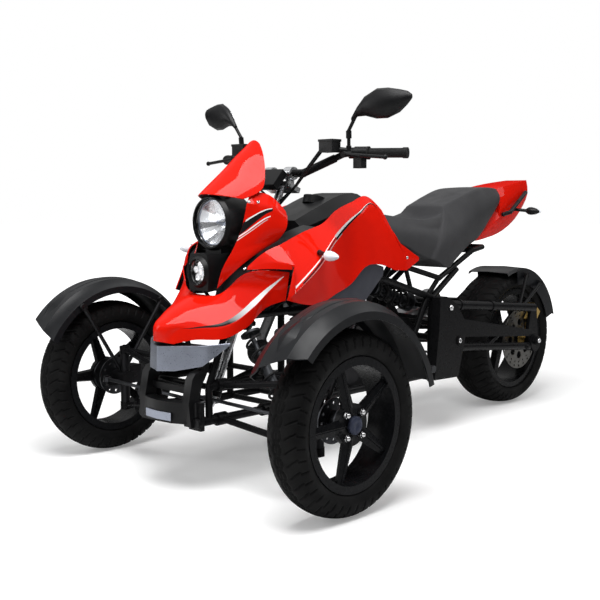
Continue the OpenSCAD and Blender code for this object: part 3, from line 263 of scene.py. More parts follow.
finish = {
    "gloss_red": gloss_red("gloss_red")[0],
    "black_plastic": grained_plastic("black_plastic", (0.0045, 0.0046, 0.005), 0.36),
    "fender_black": grained_plastic("fender_black", (0.0048, 0.0052, 0.0062), 0.32, 700.0, 0.05),
    "grey_plastic": grained_plastic("grey_plastic", (0.030, 0.032, 0.042), 0.44),
    "silver_plastic": metal("silver_plastic", (0.38, 0.41, 0.49), 0.34, 300.0, strength=0.03),
    "frosted_lens": grained_plastic("frosted_lens", (0.62, 0.64, 0.68), 0.20, 300.0, 0.08),
    "frame_black": powder_coat("frame_black", (0.0034, 0.0034, 0.0038), 0.28),
    "rim_black": powder_coat("rim_black", (0.0034, 0.0036, 0.0042), 0.24),
    "spring_black": powder_coat("spring_black", (0.012, 0.012, 0.0125), 0.30),
    "cap_blue": powder_coat("cap_blue", (0.024, 0.028, 0.045), 0.26),
    "mirror": metal("mirror", (0.80, 0.81, 0.83), 0.04, 10.0, strength=0.0),
    "seat_vinyl": seat_vinyl(),
    "tyre_rubber": tyre_rubber(),
    "grip_rubber": grip_rubber(),
    "machined_alloy": metal("machined_alloy", (0.66, 0.67, 0.69), 0.28),
    "dark_alloy": metal("dark_alloy", (0.055, 0.057, 0.062), 0.42, 120.0),
    "cast_dark": metal("cast_dark", (0.028, 0.028, 0.030), 0.50, 300.0, strength=0.2),
    "brushed_steel": metal("brushed_steel", (0.20, 0.20, 0.205), 0.36, 30.0, (1.0, 1.0, 12.0)),
    "disc_steel": metal("disc_steel", (0.11, 0.107, 0.10), 0.38, 60.0, strength=0.03),
    "chain_steel": metal("chain_steel", (0.10, 0.10, 0.10), 0.42, 260.0, strength=0.3),
    "bolt_steel": metal("bolt_steel", (0.62, 0.62, 0.63), 0.22),
    "gold_caliper": metal("gold_caliper", (0.62, 0.42, 0.13), 0.30, 200.0),
    "reflector": metal("reflector", (0.90, 0.90, 0.92), 0.24, 15.0, strength=0.02),
    # The running lamp's cups and plate get a weak painted glow (Emission Strength), standing in for the light that the
    # clear lens keeps out.
    "cup_painted_glow": metal("cup_painted_glow", (0.90, 0.90, 0.92), 0.30, 15.0, strength=0.02, Emission_Strength=0.35),
    "plate_painted_glow": metal("plate_painted_glow", (0.62, 0.64, 0.68), 0.40, 15.0, strength=0.02, Emission_Strength=0.22),
    "clear_lens": clear_lens(),
    "red_lens": red_lens(),
}
print("finishes:", len(finish))

# %% [markdown]
# ## The frame's own solids
# Most solids already have the right form. A real edge is never perfectly sharp, so each gets a Weld, which joins
# the loose triangles, and a small Bevel that catches the light. The mesh itself stays as it is.

# %% Dress the solids
slot_finish = {
    "frame_black": "frame_black", "damper_metal": "dark_alloy", "spring_black": "spring_black",
    "engine_alloy": "cast_dark", "exhaust_steel": "brushed_steel", "paint_red": "gloss_red",
    "plastic_black": "black_plastic", "lens_clear": "clear_lens", "plastic_grey": "grey_plastic",
    "seat_vinyl": "seat_vinyl", "lens_red": "red_lens", "plastic_silver": "silver_plastic",
    "peg_alloy": "dark_alloy", "chain_steel": "chain_steel", "caliper_gold": "gold_caliper",
    "bar_black": "frame_black", "column_alloy": "machined_alloy", "grip_rubber": "grip_rubber",
    "knuckle_metal": "cast_dark", "rod_steel": "dark_alloy", "tyre_rubber": "tyre_rubber",
    "rim_black": "rim_black", "hub_alloy": "dark_alloy", "disc_steel": "disc_steel",
}
own_finish = {"fender_left": "fender_black", "fender_right": "fender_black", "hugger": "fender_black",
              "indicator_lenses": "frosted_lens", "tank_cover": "black_plastic"}
smooth_angle = np.radians(32.0)
edge_round = 0.0012
weld_reach = 0.00002


def round_edges(piece, width):
    """Small rounded edges where faces meet sharply."""
    bevel = piece.modifiers.new("edges", "BEVEL")
    bevel.width = width
    bevel.segments = 2
    bevel.limit_method = "ANGLE"
    bevel.angle_limit = smooth_angle
    bevel.harden_normals = True


def dress(node, material):
    """Gives a solid its finish, welded smooth faces and slightly rounded edges."""
    solid = nodes[node]
    solid.data.materials.clear()
    solid.data.materials.append(material)
    if "custom_normal" in solid.data.attributes:
        solid.data.attributes.remove(solid.data.attributes["custom_normal"])
    solid.data.polygons.foreach_set("use_smooth", np.ones(len(solid.data.polygons), bool))
    weld = solid.modifiers.new("weld", "WELD")
    weld.merge_threshold = weld_reach
    round_edges(solid, edge_round)


node_slot = {row["node"]: row["material_slot"] for row in frame["record"]["subparts"]}
for node, slot in node_slot.items():
    dress(node, finish[own_finish.get(node, slot_finish[slot])])
print("dressed:", len(node_slot), "solids")

# %% [markdown]
# ## Places and surfaces
# Every new piece below is a grid of points worked out at once with numpy. Places are measured in millimetres from
# the front axle, as on the drawing, and turned into metres of the frame. A sheet is a smooth surface through a few
# rows of points, and a turned part is a profile carried round an axis.


# %% Places, grids and pieces
mm_per_m = 1000.0
joint_place = {joint["name"]: np.array(joint["pos_m"], float) for joint in frame["record"]["behaviour"]["joints"]}
axle_ahead = joint_place["wheel_front_left_spin"][0]


def at(points):
    """Places in millimetres from the front axle, as metres in the frame."""
    return np.asarray(points, float) / mm_per_m + np.array((axle_ahead, 0.0, 0.0))


def drawn(joint):
    """A joint's place on the drawing: millimetres from the front axle, rounded to a tenth."""
    return np.round((joint_place[joint] - np.array((axle_ahead, 0.0, 0.0))) * mm_per_m, 1)


front_hub = {"left": drawn("wheel_front_left_spin"), "right": drawn("wheel_front_right_spin")}
rear_hub = drawn("wheel_rear_spin")
flip = np.array((1.0, -1.0, 1.0))
ahead_way, left_way, up_way = np.eye(3)


def unit(vector):
    """The vector divided by its length."""
    vector = np.asarray(vector, float)
    return vector / np.linalg.norm(vector, axis=-1, keepdims=True)


def grid_faces(rows, cols, ring=False, tube=False):
    """Faces between neighbours on a grid; ring joins the last row to the first, tube the last column."""
    i, j = np.meshgrid(np.arange(rows - (not ring)), np.arange(cols - (not tube)), indexing="ij")
    i, j = i.ravel(), j.ravel()
    down, right = (i + 1) % rows, (j + 1) % cols
    return np.stack([i * cols + j, down * cols + j, down * cols + right, i * cols + right], axis=1)


def joined(parts):
    """One list of points and one of faces from several pairs."""
    starts = np.cumsum([0] + [len(points) for points, faces in parts[:-1]])
    return (np.concatenate([points for points, faces in parts]),
            np.concatenate([faces + start for (points, faces), start in zip(parts, starts)]))


def other_side(points, faces):
    """The mirror image across the middle plane, with its faces turned round."""
    return points * flip, faces[:, ::-1]


def add_piece(name, points, faces, materials, body, slot, uv=None, flat=False):
    """A mesh from points and faces, with poles and seams merged; uv gives each point its place on the map."""
    mesh = bpy.data.meshes.new(name)
    mesh.from_pydata(np.reshape(points, (-1, 3)).tolist(), [], faces.tolist())
    if uv is not None:
        corner = np.empty(len(mesh.loops), np.int32)
        mesh.loops.foreach_get("vertex_index", corner)
        mesh.uv_layers.new(name="map").data.foreach_set("uv", np.reshape(uv, (-1, 2))[corner].ravel())
    shape = bmesh.new()
    shape.from_mesh(mesh)
    bmesh.ops.remove_doubles(shape, verts=shape.verts, dist=1e-6)
    shape.to_mesh(mesh)
    shape.free()
    mesh.polygons.foreach_set("use_smooth", np.full(len(mesh.polygons), not flat))
    for material in materials:
        mesh.materials.append(material)
    piece = bpy.data.objects.new(name, mesh)
    bpy.context.scene.collection.objects.link(piece)
    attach(piece, body)
    print(name, "faces:", len(mesh.polygons))
    return piece


def thick_shell(piece, wall, inner_material=0):
    """A wall of that thickness behind a surface; inner_material counts on from the outer one."""
    shell = piece.modifiers.new("wall", "SOLIDIFY")
    shell.thickness = wall
    shell.offset = -1.0
    shell.material_offset = inner_material


# %% Smooth surfaces and turned parts
def spline(grid, steps, sharp=()):
    """A curve down each column of points: cubic pieces, whose slope at a point is the mean of the two chords there,
    each weighed by the other's length. The line breaks at the points named as sharp."""
    chord = np.diff(grid, axis=0)
    hop = np.linalg.norm(chord, axis=-1, keepdims=True)
    way = chord / np.maximum(hop, 1e-9)
    last = len(grid) - 1
    soft = np.array([0 < i < last and i not in sharp for i in range(last + 1)])[:, None, None]
    flow = np.zeros_like(grid)
    flow[1:-1] = (way[:-1] * hop[1:] + way[1:] * hop[:-1]) / (hop[1:] + hop[:-1])
    start, end = soft[:-1], soft[1:]
    leave = np.where(start, flow[:-1], np.where(end, 1.5 * way - 0.5 * flow[1:], way)) * hop
    reach = np.where(end, flow[1:], np.where(start, 1.5 * way - 0.5 * flow[:-1], way)) * hop
    t = (np.arange(steps) / steps)[None, :, None, None]
    p, q, a, b = (part[:, None] for part in (grid[:-1], grid[1:], leave, reach))
    inside = p + (q - p) * t * t * (3 - 2 * t) + a * t * (1 - t) ** 2 - b * t * t * (1 - t)
    return np.concatenate([inside.reshape(-1, *grid.shape[1:]), grid[-1:]])


def smooth_surface(grid, row_steps, col_steps, rows=(), cols=()):
    """Curves along each row of points, then curves across them, so that the surface passes through every point."""
    across = spline(np.swapaxes(np.asarray(grid, float), 0, 1), col_steps, cols)
    return spline(np.swapaxes(across, 0, 1), row_steps, rows)


def spot(surface, u, v):
    """The point at parts u and v of a surface's rows and columns, and the direction that stands out from it."""
    i = int(np.clip(u * (len(surface) - 1), 1, len(surface) - 2))
    j = int(np.clip(v * (surface.shape[1] - 1), 1, surface.shape[1] - 2))
    out = np.cross(surface[i + 1, j] - surface[i - 1, j], surface[i, j + 1] - surface[i, j - 1])
    return surface[i, j], unit(out)


def turned(profile, count, centre, axis):
    """A profile of (radius, height) carried round an axis: centre + radius * ring direction + height * axis."""
    profile = np.asarray(profile, float) / mm_per_m
    axis = unit(axis)
    side = unit(np.cross(axis, (0.0, 0.0, 1.0) if abs(axis[2]) < 0.9 else (1.0, 0.0, 0.0)))
    angle = 2 * np.pi * np.arange(count)[:, None] / count
    ring = np.cos(angle) * side + np.sin(angle) * np.cross(axis, side)
    points = centre + profile[None, :, :1] * ring[:, None, :] + profile[None, :, 1:] * axis
    return points.reshape(-1, 3), grid_faces(count, len(profile), ring=True)


# %% [markdown]
# ## Painted bodywork
# Beak, fairing wings, flyscreen and tank panels are thin mouldings. Each is a smooth surface through the rows of
# points that the solids also use, only with finer steps, and a Solidify wall behind it. Red is painted outside, and
# the inside stays bare black plastic. The graphics are thin stripes, which follow the surface's own map: a stripe is
# the part of the map that lies close to a slanted line.


# %% Striped red paint
def striped_red(name, stripes, folded=False):
    """Red paint with stripes along slanted lines of the map; folded counts v from the middle to both sides."""
    material, shader = gloss_red(name)
    base = shader.inputs["Base Color"].links[0].from_socket
    place = add_node(material, "ShaderNodeSeparateXYZ", Vector=add_node(material, "ShaderNodeUVMap").outputs[0])
    u, v = place.outputs[0], place.outputs[1]

    def math_of(kind, first, second):
        """What a Math node of that kind makes of two values."""
        node = add_node(material, "ShaderNodeMath", n0=first, n1=second)
        node.operation = kind
        return node.outputs[0]

    if folded:
        v = math_of("ABSOLUTE", math_of("SUBTRACT", v, 0.5), 0.0)
    for u0, u1, v0, v1, w0, w1, first, second in stripes:
        part = spread(material, u, 0.0, 1.0, u0, u1)
        middle = spread(material, part, v0, v1, 0.0, 1.0)
        away = math_of("ABSOLUTE", math_of("SUBTRACT", v, middle), 0.0)
        inside = math_of("LESS_THAN", away, spread(material, part, w0, w1, 0.0, 1.0))
        ends = math_of("MULTIPLY", math_of("GREATER_THAN", u, u0), math_of("LESS_THAN", u, u1))
        colour = tint(material, part, first, second)
        base = tint(material, math_of("MULTIPLY", inside, ends), base, colour)
    link(material, base, shader, "Base Color")
    return material


# Stripe columns: start u, end u, start v, end v, start half width, end half width, start colour, end colour
black, white, silver = (0.010, 0.010, 0.011), (0.75, 0.75, 0.75), (0.34, 0.34, 0.35)
wing_red = striped_red("wing_red", [
    (0.0, 0.62, 0.62, 0.78, 0.050, 0.012, black, black), (0.0, 0.60, 0.555, 0.715, 0.010, 0.006, white, white),
    (0.05, 0.60, 0.68, 0.79, 0.008, 0.004, white, white), (0.0, 0.56, 0.52, 0.68, 0.007, 0.005, white, silver)])
beak_red = striped_red("beak_red", [
    (0.22, 0.50, 0.373, 0.358, 0.001, 0.014, black, black), (0.50, 0.70, 0.358, 0.357, 0.014, 0.015, black, white),
    (0.70, 0.96, 0.357, 0.371, 0.015, 0.001, white, white)], folded=True)
panel_red = striped_red("panel_red", [
    (0.26, 0.50, 0.475, 0.475, 0.006, 0.006, white, silver), (0.26, 0.50, 0.545, 0.545, 0.010, 0.006, white, white),
    (0.30, 0.55, 0.51, 0.51, 0.008, 0.012, black, black), (0.46, 0.74, 0.53, 0.52, 0.040, 0.004, silver, white),
    (0.46, 0.76, 0.49, 0.50, 0.016, 0.006, black, black)])


# %% Body sheets
sheet_wall = 0.004
sheet_edge = 0.001


def body_sheet(name, grid, steps, material, node, sharp_rows=(), sharp_cols=(), both=False):
    """A wall behind a smooth surface, on one or both sides of the trike, in place of its plain solid."""
    surface = smooth_surface(at(grid), *steps, sharp_rows, sharp_cols)
    rows, cols = surface.shape[:2]
    uv = np.stack(np.meshgrid(np.linspace(0, 1, rows), np.linspace(0, 1, cols), indexing="ij"), -1).reshape(-1, 2)
    parts = [(surface.reshape(-1, 3), grid_faces(rows, cols))]
    if both:
        parts.append(other_side(*parts[0]))
        uv = np.concatenate([uv, uv])
    piece = add_piece(name, *joined(parts), [material, finish["black_plastic"]], "chassis", "paint_red", uv)
    thick_shell(piece, sheet_wall, inner_material=1)
    round_edges(piece, sheet_edge)
    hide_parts(node)
    return surface


# Half sections front to back: ridge x, z, then x, y, z of valley, shoulder, crease and low edge
beak_rows = np.array([
    [226, 488, 225, 16, 488, 220, 30, 487, 212, 42, 485, 203, 51, 483],
    [230, 536, 226, 18, 536, 214, 36, 533, 194, 52, 525, 197, 56, 485],
    [186, 571, 180, 32, 569, 167, 62, 557, 155, 90, 531, 160, 92, 495],
    [124, 604, 111, 54, 600, 84, 110, 582, 66, 168, 544, 84, 164, 500],
    [78, 622, 62, 60, 619, 30, 134, 619, -7, 196, 592, 16, 190, 531],
    [48, 626, 42, 66, 627, 3, 139, 660, -71, 214, 648, -61, 204, 591],
    [22, 624, 27, 74, 631, -10, 160, 701, -118, 252, 704, -114, 238, 612]], float)
beak_half = beak_rows[:, 2:].reshape(-1, 4, 3)[:, ::-1]
beak_ridge = np.stack([beak_rows[:, 0], np.zeros(len(beak_rows)), beak_rows[:, 1]], -1)[:, None]
beak_grid = np.concatenate([beak_half, beak_ridge, beak_half[:, ::-1] * flip], axis=1)
body_sheet("beak_skin", beak_grid, (8, 6), beak_red, "beak", (), (1, 7))

# Rows from the lamp to the rear edge, each from its low edge to its top
wing_grid = [
    [[28, 62, 648], [18, 79, 715], [-10, 92, 768], [-40, 102, 832], [-60, 113, 925], [-90, 99, 964]],
    [[-40, 116, 729], [-62, 127, 760], [-80, 132, 790], [-102, 142, 845], [-126, 145, 918], [-142, 122, 958]],
    [[-162, 150, 800], [-166, 154, 806], [-172, 158, 814], [-194, 165, 848], [-204, 158, 880], [-208, 146, 900]]]
wing = body_sheet("wing_skin", wing_grid, (16, 6), wing_red, "headlamp_fairing", (), (2, 4), both=True)

# Sections from the low edge up: middle x, middle z, half width, sweep back at the edge, drop at the edge
screen_rows = np.array([[28, 959, 105, 79, 18], [-8, 986, 124, 111, 12], [-76, 1039, 100, 80, 12],
                        [-140, 1092, 74, 37, 17], [-182, 1126, 50, 9, 19], [-199, 1142, 30, 0, 13]], float)[:, :, None]
screen_part = np.array((1.0, 0.6, 0.0, -0.6, -1.0))
screen_grid = np.stack([screen_rows[:, 0] - screen_rows[:, 3] * screen_part ** 2, screen_rows[:, 2] * screen_part,
                        screen_rows[:, 1] - screen_rows[:, 4] * screen_part ** 2], -1)
body_sheet("screen_skin", screen_grid, (8, 10), finish["gloss_red"], "flyscreen")

# Sections front to back, each with its low edge, its crease and its top edge
panel_grid = [
    [[-17, 158, 713], [-19, 158, 718], [-23, 155, 723]], [[-70, 223, 716], [-74, 222, 737], [-64, 190, 769]],
    [[-114, 273, 714], [-117, 276, 729], [-118, 208, 792]], [[-76, 284, 618], [-106, 292, 640], [-150, 212, 806]],
    [[-200, 290, 594], [-212, 296, 722], [-222, 208, 830]], [[-340, 258, 620], [-352, 243, 806], [-345, 190, 859]],
    [[-465, 222, 648], [-470, 198, 856], [-445, 158, 900]], [[-545, 213, 698], [-566, 168, 892], [-560, 135, 931]],
    [[-655, 190, 702], [-660, 145, 925], [-650, 123, 952]], [[-770, 170, 674], [-735, 153, 850], [-740, 127, 900]],
    [[-850, 164, 668], [-842, 162, 724], [-800, 160, 780]], [[-926, 163, 702], [-930, 163, 709], [-928, 162, 716]]]
panel = body_sheet("panel_skin", panel_grid, (8, 10), panel_red, "tank_panels", (2, 3, 9, 10), (1,), both=True)

# %% [markdown]
# ## Seat
# The seat is foam under grained vinyl: a rider's part that dips, and a passenger pad whose front edge stands up
# like a step. It is a closed loft of cross-sections. Ahead of a slanted line, where the cover is sewn, the skin is
# pulled in, most on top, and the pull fades towards the tank. A crown of a few millimetres keeps the top full.


# %% Seat
def ease(value, low, high):
    """Goes from 0 to 1 between two values, with level ends: t * t * (3 - 2 * t)."""
    t = np.clip((value - low) / (high - low), 0.0, 1.0)
    return t * t * (3 - 2 * t)


# Sections front to back: x, then height and half width of the top edge, the middle and the low edge
seat_rows = np.array([
    [-762, 888, 84, 850, 112, 792, 130], [-860, 874, 100, 828, 138, 762, 150], [-940, 870, 110, 812, 148, 730, 156],
    [-1060, 879, 114, 790, 158, 690, 162], [-1130, 892, 110, 776, 158, 664, 162],
    [-1186, 912, 98, 792, 150, 690, 152], [-1300, 950, 104, 846, 140, 742, 134],
    [-1420, 984, 104, 884, 128, 782, 112], [-1520, 990, 98, 914, 118, 858, 102],
    [-1590, 984, 84, 944, 104, 912, 94]], float)
x, top_z, top_y, mid_z, mid_y, low_z, low_y = seat_rows.T
left_half = np.stack([np.stack(line, -1) for line in ((x, low_y, low_z), (x, mid_y, mid_z), (x, top_y, top_z))], 1)
seat_grid = np.concatenate([left_half, left_half[:, ::-1] * flip], axis=1)
skin = smooth_surface(seat_grid, 20, 14, (), (0, 2, 3, 5))
below = skin[:, -1:] + (skin[:, :1] - skin[:, -1:]) * np.linspace(0, 1, 14)[1:-1][None, :, None]
skin = np.concatenate([skin, below], axis=1)
x, y, z = skin[..., 0], skin[..., 1], skin[..., 2]


def along_seat(column):
    """A column of the seat's table, read between its sections at each point of the skin."""
    return np.interp(-x, -seat_rows[:, 0], column)


seam_foot_x, seam_foot_z = -1034.0, 700.0
seam_run, seam_rise = -150.0, 213.0
pull_from, pull_full, pull_fades, pull_gone = -6.0, 18.0, 40.0, 300.0
side_pull, edge_pull, dish_pull = 13.0, 18.0, 26.0
crown_height = 3.0
seam_depth, seam_width, seam_behind = 1.6, 3.0, 7.0
half_top = along_seat(top_y)
on_top = ease(z, along_seat(mid_z), along_seat(top_z))
edge_x = seam_foot_x + (z - seam_foot_z) / seam_rise * seam_run
past_seam = x - edge_x
ahead = ease(past_seam, pull_from, pull_full) * (1.0 - ease(past_seam, pull_fades, pull_gone))
dish = 1.0 - np.clip(np.abs(y) / half_top, 0, 1) ** 2
pull = ahead * (side_pull * (1 - on_top) + (edge_pull + dish_pull * dish) * on_top)
crown = crown_height * on_top * dish * (1.0 - ease(x, -1000.0, -800.0) * 0.5)
seam = seam_depth * np.exp(-((past_seam + seam_behind) / seam_width) ** 2) * ease(z, 690.0, 720.0)
to_middle = unit(np.stack([np.zeros_like(x), -np.sign(y) * (1 - on_top), -on_top - 1e-6], -1))
skin = skin + to_middle * (pull + seam)[..., None] + up_way * crown[..., None]
heart = skin.mean(axis=1, keepdims=True)


def end_cap(row, centre, bulge):
    """Rows that draw an end section in to its middle: parts 0.97 to 0 of its size, pushed out by a rounded bulge."""
    part = np.array((0.97, 0.9, 0.7, 0.4, 0.0))[:, None, None]
    push = np.array((bulge, 0.0, 0.0)) * np.sqrt(1 - part ** 2)
    return centre + (row - centre) * part + push


front_bulge, rear_bulge = 4.0, -1.0
front_end, rear_end = end_cap(skin[0], heart[0], front_bulge)[::-1], end_cap(skin[-1], heart[-1], rear_bulge)
skin = np.concatenate([front_end, skin, rear_end])
seat = add_piece("seat_cover", at(skin), grid_faces(*skin.shape[:2], tube=True), [finish["seat_vinyl"]], "chassis",
                 "seat_vinyl")
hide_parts("seat")

# %% [markdown]
# ## Tyres
# The tread is cut into the rubber, so it is real geometry: the section is carried round the axle, and the radius is
# lowered wherever a groove passes. Two wavy grooves run round the middle with a thin slit between them, and
# slanted curved slits cross the shoulders. The section keeps sharp corners at the bead, where it meets the rim.

# %% Tyres
# Half section from bead to crown: part of the way out from the bead, part of the half width
tyre_part = np.array([[0, 0.70], [0.16, 0.70], [0.19, 0.84], [0.34, 0.96], [0.48, 1.00], [0.64, 0.97], [0.80, 0.84],
                      [0.92, 0.60], [0.98, 0.30], [1, 0]], float)
section_steps, round_steps = 5, 840
groove_depth = 4.6
ring_half_width, ring_edge = 3.0, 4.4      # a ring groove is flat to the first and gone at the second
slit_half_width, slit_edge = 2.4, 4.0
ring_at, ring_swing = 0.17, 0.055          # parts of the half width
slit_slant, shoulder_slant = 1.1, 0.9      # turns of the pattern for each part across and each part down


def tyre(name, node, body, centre, bead, radius, width, slits):
    """Section from bead to bead, carried round: the groove depth is taken off the radius."""
    half = np.stack([bead + tyre_part[:, 0] * (radius - bead), tyre_part[:, 1] * width / 2], -1)
    section = np.concatenate([half, half[-2::-1] * np.array((1, -1))])
    section = spline(section[:, None, :], section_steps, (1, 2, len(section) - 3, len(section) - 2))[:, 0]
    r, off = section[None, :, 0], section[None, :, 1]
    angle = np.linspace(0, 2 * np.pi, round_steps, endpoint=False)[:, None]
    along = np.abs(off) / (width / 2)
    wall = radius - bead
    crown = r > bead + 0.40 * wall
    turn = angle * slits / (2 * np.pi)
    wave = ring_at + ring_swing * np.sin(turn * np.pi * 2)
    ring_groove = np.maximum(1 - ease(np.abs(along - wave) * width / 2, ring_half_width, ring_edge), off == 0)
    lean = (r - radius) / wall
    slant = slit_slant * (along - 0.6) + shoulder_slant * lean * (along > 0.9)
    place = np.mod(turn + np.sign(off) * 0.25 - slant, 1.0)
    pitch = 2 * np.pi * radius / slits
    slit = (1 - ease(np.abs(place - 0.5) * pitch, slit_half_width, slit_edge)) * ease(along, 0.40, 0.46)
    slit = slit * ease(r, bead + 0.46 * wall, bead + 0.52 * wall)
    depth = np.maximum(ring_groove * (along < 0.5) * crown, slit) * groove_depth
    outward = unit(np.stack([-np.gradient(section[:, 1]), np.gradient(section[:, 0])], -1))
    inside = np.array((radius * 0.9, 0.0))
    outward = np.where((outward * (section - inside)).sum(-1, keepdims=True) < 0, -outward, outward)
    r = r - depth * outward[None, :, 0]
    off = off - depth * outward[None, :, 1]
    points = np.stack([r * np.cos(angle), off, r * np.sin(angle)], -1)
    faces = grid_faces(*points.shape[:2], ring=True, tube=True)[:, ::-1]
    piece = add_piece(name, at(points + centre), faces, [finish["tyre_rubber"]], body, "tyre_rubber")
    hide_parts(node)


for word, hub in front_hub.items():
    tyre("tyre_tread_" + word, "tyre_front_" + word, "wheel_front_" + word, hub, bead=190.8, radius=hub[2], width=130,
         slits=44)
tyre("tyre_tread_rear", "tyre_rear", "wheel_rear", rear_hub, bead=216.3, radius=rear_hub[2], width=190, slits=48)

# %% [markdown]
# ## Springs
# A coil spring is round wire wound on a helix: the wire's circle is carried along it. The ends close to a point
# inside the spring seats.


# %% Springs
turn_steps, wire_steps = 28, 12


def coil(low, high, coil_radius, wire, turns):
    """Axis point + (coil radius + wire * cos) * ring direction + wire * sin * axis, along the helix angle."""
    low, high = np.asarray(low, float), np.asarray(high, float)
    axis = unit(high - low)
    side = unit(np.cross(axis, (0.0, 1.0, 0.2)))
    t = np.linspace(0, 1, turn_steps * turns + 1)[:, None]
    angle = 2 * np.pi * turns * t
    ring = np.cos(angle) * side + np.sin(angle) * np.cross(axis, side)
    height = wire + t * (np.linalg.norm(high - low) - 2 * wire)
    thin = np.where((t <= 0) | (t >= 1), 0.0, wire)[:, :, None]
    around = np.linspace(0, 2 * np.pi, wire_steps, endpoint=False)[None, :, None]
    points = (low + height[:, :, None] * axis + (coil_radius + thin * np.cos(around)) * ring[:, None, :]
              + thin * np.sin(around) * axis)
    return at(points).reshape(-1, 3), grid_faces(*points.shape[:2], tube=True)[:, ::-1]


def damper_coil(low_eye, top_eye, seat_gap, coil_radius, wire, turns):
    """A coil between a damper's two eyes, whose spring seats stand seat_gap in from each eye."""
    low_eye, top_eye = np.array(low_eye, float), np.array(top_eye, float)
    way = unit(top_eye - low_eye)
    return coil(low_eye + way * seat_gap, top_eye - way * seat_gap, coil_radius, wire, turns)


front_coil = damper_coil((-8, 390, 207), (-8, 164, 536), 38.3, 28.0, 4.5, 7)
rear_coil = damper_coil((-1108, 0, 505), (-800, 0, 610), 42.3, 33.0, 5.5, 5)
springs = add_piece("spring_wire", *joined([front_coil, other_side(*front_coil), rear_coil]),
                    [finish["spring_black"]], "chassis", "spring_black")
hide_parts("springs")

# %% [markdown]
# ## Lamps
# Behind the clear lens sits a bright bowl with flat facets, and a bulb in its middle. The lower lamp has six small
# cups in a pale plate, with a weak painted glow that stands in for the light that the lens keeps out. The bowls are
# turned parts, left flat-shaded so that each facet mirrors its own piece of the room.


# %% Lamp insides
def bowl(centre, deep, wide, back, count, rings):
    """Depth grows with the square of the radius: a parabola carried round, facing ahead."""
    radius = np.linspace(wide, 0.0, rings)
    return turned(np.stack([radius, -back + deep * (radius / wide) ** 2], -1), count, at(centre), ahead_way)


head_centre, low_centre = (-7, 0, 863), (54, 0, 702)
bowl_wall = 0.001
head_bowl = bowl(head_centre, deep=55, wide=74.5, back=62, count=20, rings=8)
head_piece = add_piece("headlamp_bowl", *head_bowl, [finish["reflector"]], "chassis", "damper_metal", flat=True)
thick_shell(head_piece, bowl_wall)
ring_profile = [(71, -9), (75.8, -9), (75.8, -6.4), (73.6, -5.4), (71, -6.4), (71, -9)]
add_piece("headlamp_ring", *turned(ring_profile, 72, at(head_centre), ahead_way), [finish["silver_plastic"]],
          "chassis", "plastic_silver")
bulb_profile = [(0, -60), (12, -60), (12, -48), (8, -46), (8, -30), (6, -24), (0, -22)]
add_piece("headlamp_bulb", *turned(bulb_profile, 20, at(head_centre), ahead_way), [finish["silver_plastic"]],
          "chassis", "damper_metal")

cup_circle = 23.0
cup_angle = np.radians(90.0 + 72.0 * np.arange(5))
cup_places = [(0.0, 0.0)] + [(cup_circle * np.cos(a), cup_circle * np.sin(a)) for a in cup_angle]
cups = [bowl(np.add(low_centre, (0.0, cup_y, cup_z)), deep=10, wide=10.5, back=18.5, count=12, rings=5)
        for cup_y, cup_z in cup_places]
# Cups and plate wear the painted glow, which stands in for the light that the lens keeps out.
cup_piece = add_piece("running_lamp_cups", *joined(cups), [finish["cup_painted_glow"]], "chassis", "damper_metal", flat=True)
thick_shell(cup_piece, bowl_wall)
plate_profile = [(0, -20.5), (36.5, -20.5), (36.5, -18.6), (0, -18.6)]
add_piece("running_lamp_plate", *turned(plate_profile, 40, at(low_centre), ahead_way), [finish["plate_painted_glow"]],
          "chassis", "plastic_silver")

# %% [markdown]
# ## Wheel nuts, bolts and glass
# Bright small parts give the eye a scale. An acorn nut is a six-sided foot under a dome; a button bolt is a low dome
# with a socket. Each row of bolts is one piece, so that it rides on the body that carries it.


# %% Nuts, caps and bolts
bolt_foot = -1.5
bolt_dome = [(1, 0.25), (0.86, 0.5), (0.6, 0.66), (0.45, 0.68), (0.42, 0.3), (0, 0.3)]


def bolts(name, spots, radius):
    """Button heads on the chassis at (place, direction) pairs: a low dome with a round socket, its foot sunk in."""
    profile = [(0, bolt_foot), (radius, bolt_foot)] + [(radius * out, radius * up) for out, up in bolt_dome]
    heads = [turned(profile, 20, place, way) for place, way in spots]
    add_piece(name, *joined(heads), [finish["bolt_steel"]], "chassis", "damper_metal")


def both_sides(spots):
    """The spots of one side and their mirror images."""
    return spots + [(place * flip, way * flip) for place, way in spots]


nut_circle = 48.0
nut_angle = np.radians(45.0 + 90.0 * np.arange(4))
nut_foot = [(0, 37), (11, 37), (11, 46), (9.5, 47.5), (0, 47.5)]
nut_dome = [(0, 47), (8.6, 47), (8.2, 50), (6.4, 53), (3.4, 55), (0, 55.6)]
cap_profile = [(0, 40), (27.6, 40), (27.6, 50), (25, 52.6), (9, 54), (7, 52), (0, 51.6)]
nut_edge = 0.0006
for word, hub in front_hub.items():
    out = left_way * np.sign(hub[1])
    nut_spots = [at(hub + nut_circle * np.array((np.cos(a), 0, -np.sin(a)))) for a in nut_angle]
    feet = [turned(nut_foot, 6, place, out) for place in nut_spots]
    domes = [turned(nut_dome, 16, place, out) for place in nut_spots]
    nuts = add_piece("wheel_nuts_" + word, *joined(feet + domes), [finish["bolt_steel"]], "wheel_front_" + word,
                     "hub_alloy")
    round_edges(nuts, nut_edge)
    cap = turned(cap_profile, 40, at(hub), out)
    add_piece("hub_cap_" + word, *cap, [finish["cap_blue"]], "wheel_front_" + word, "rim_black")

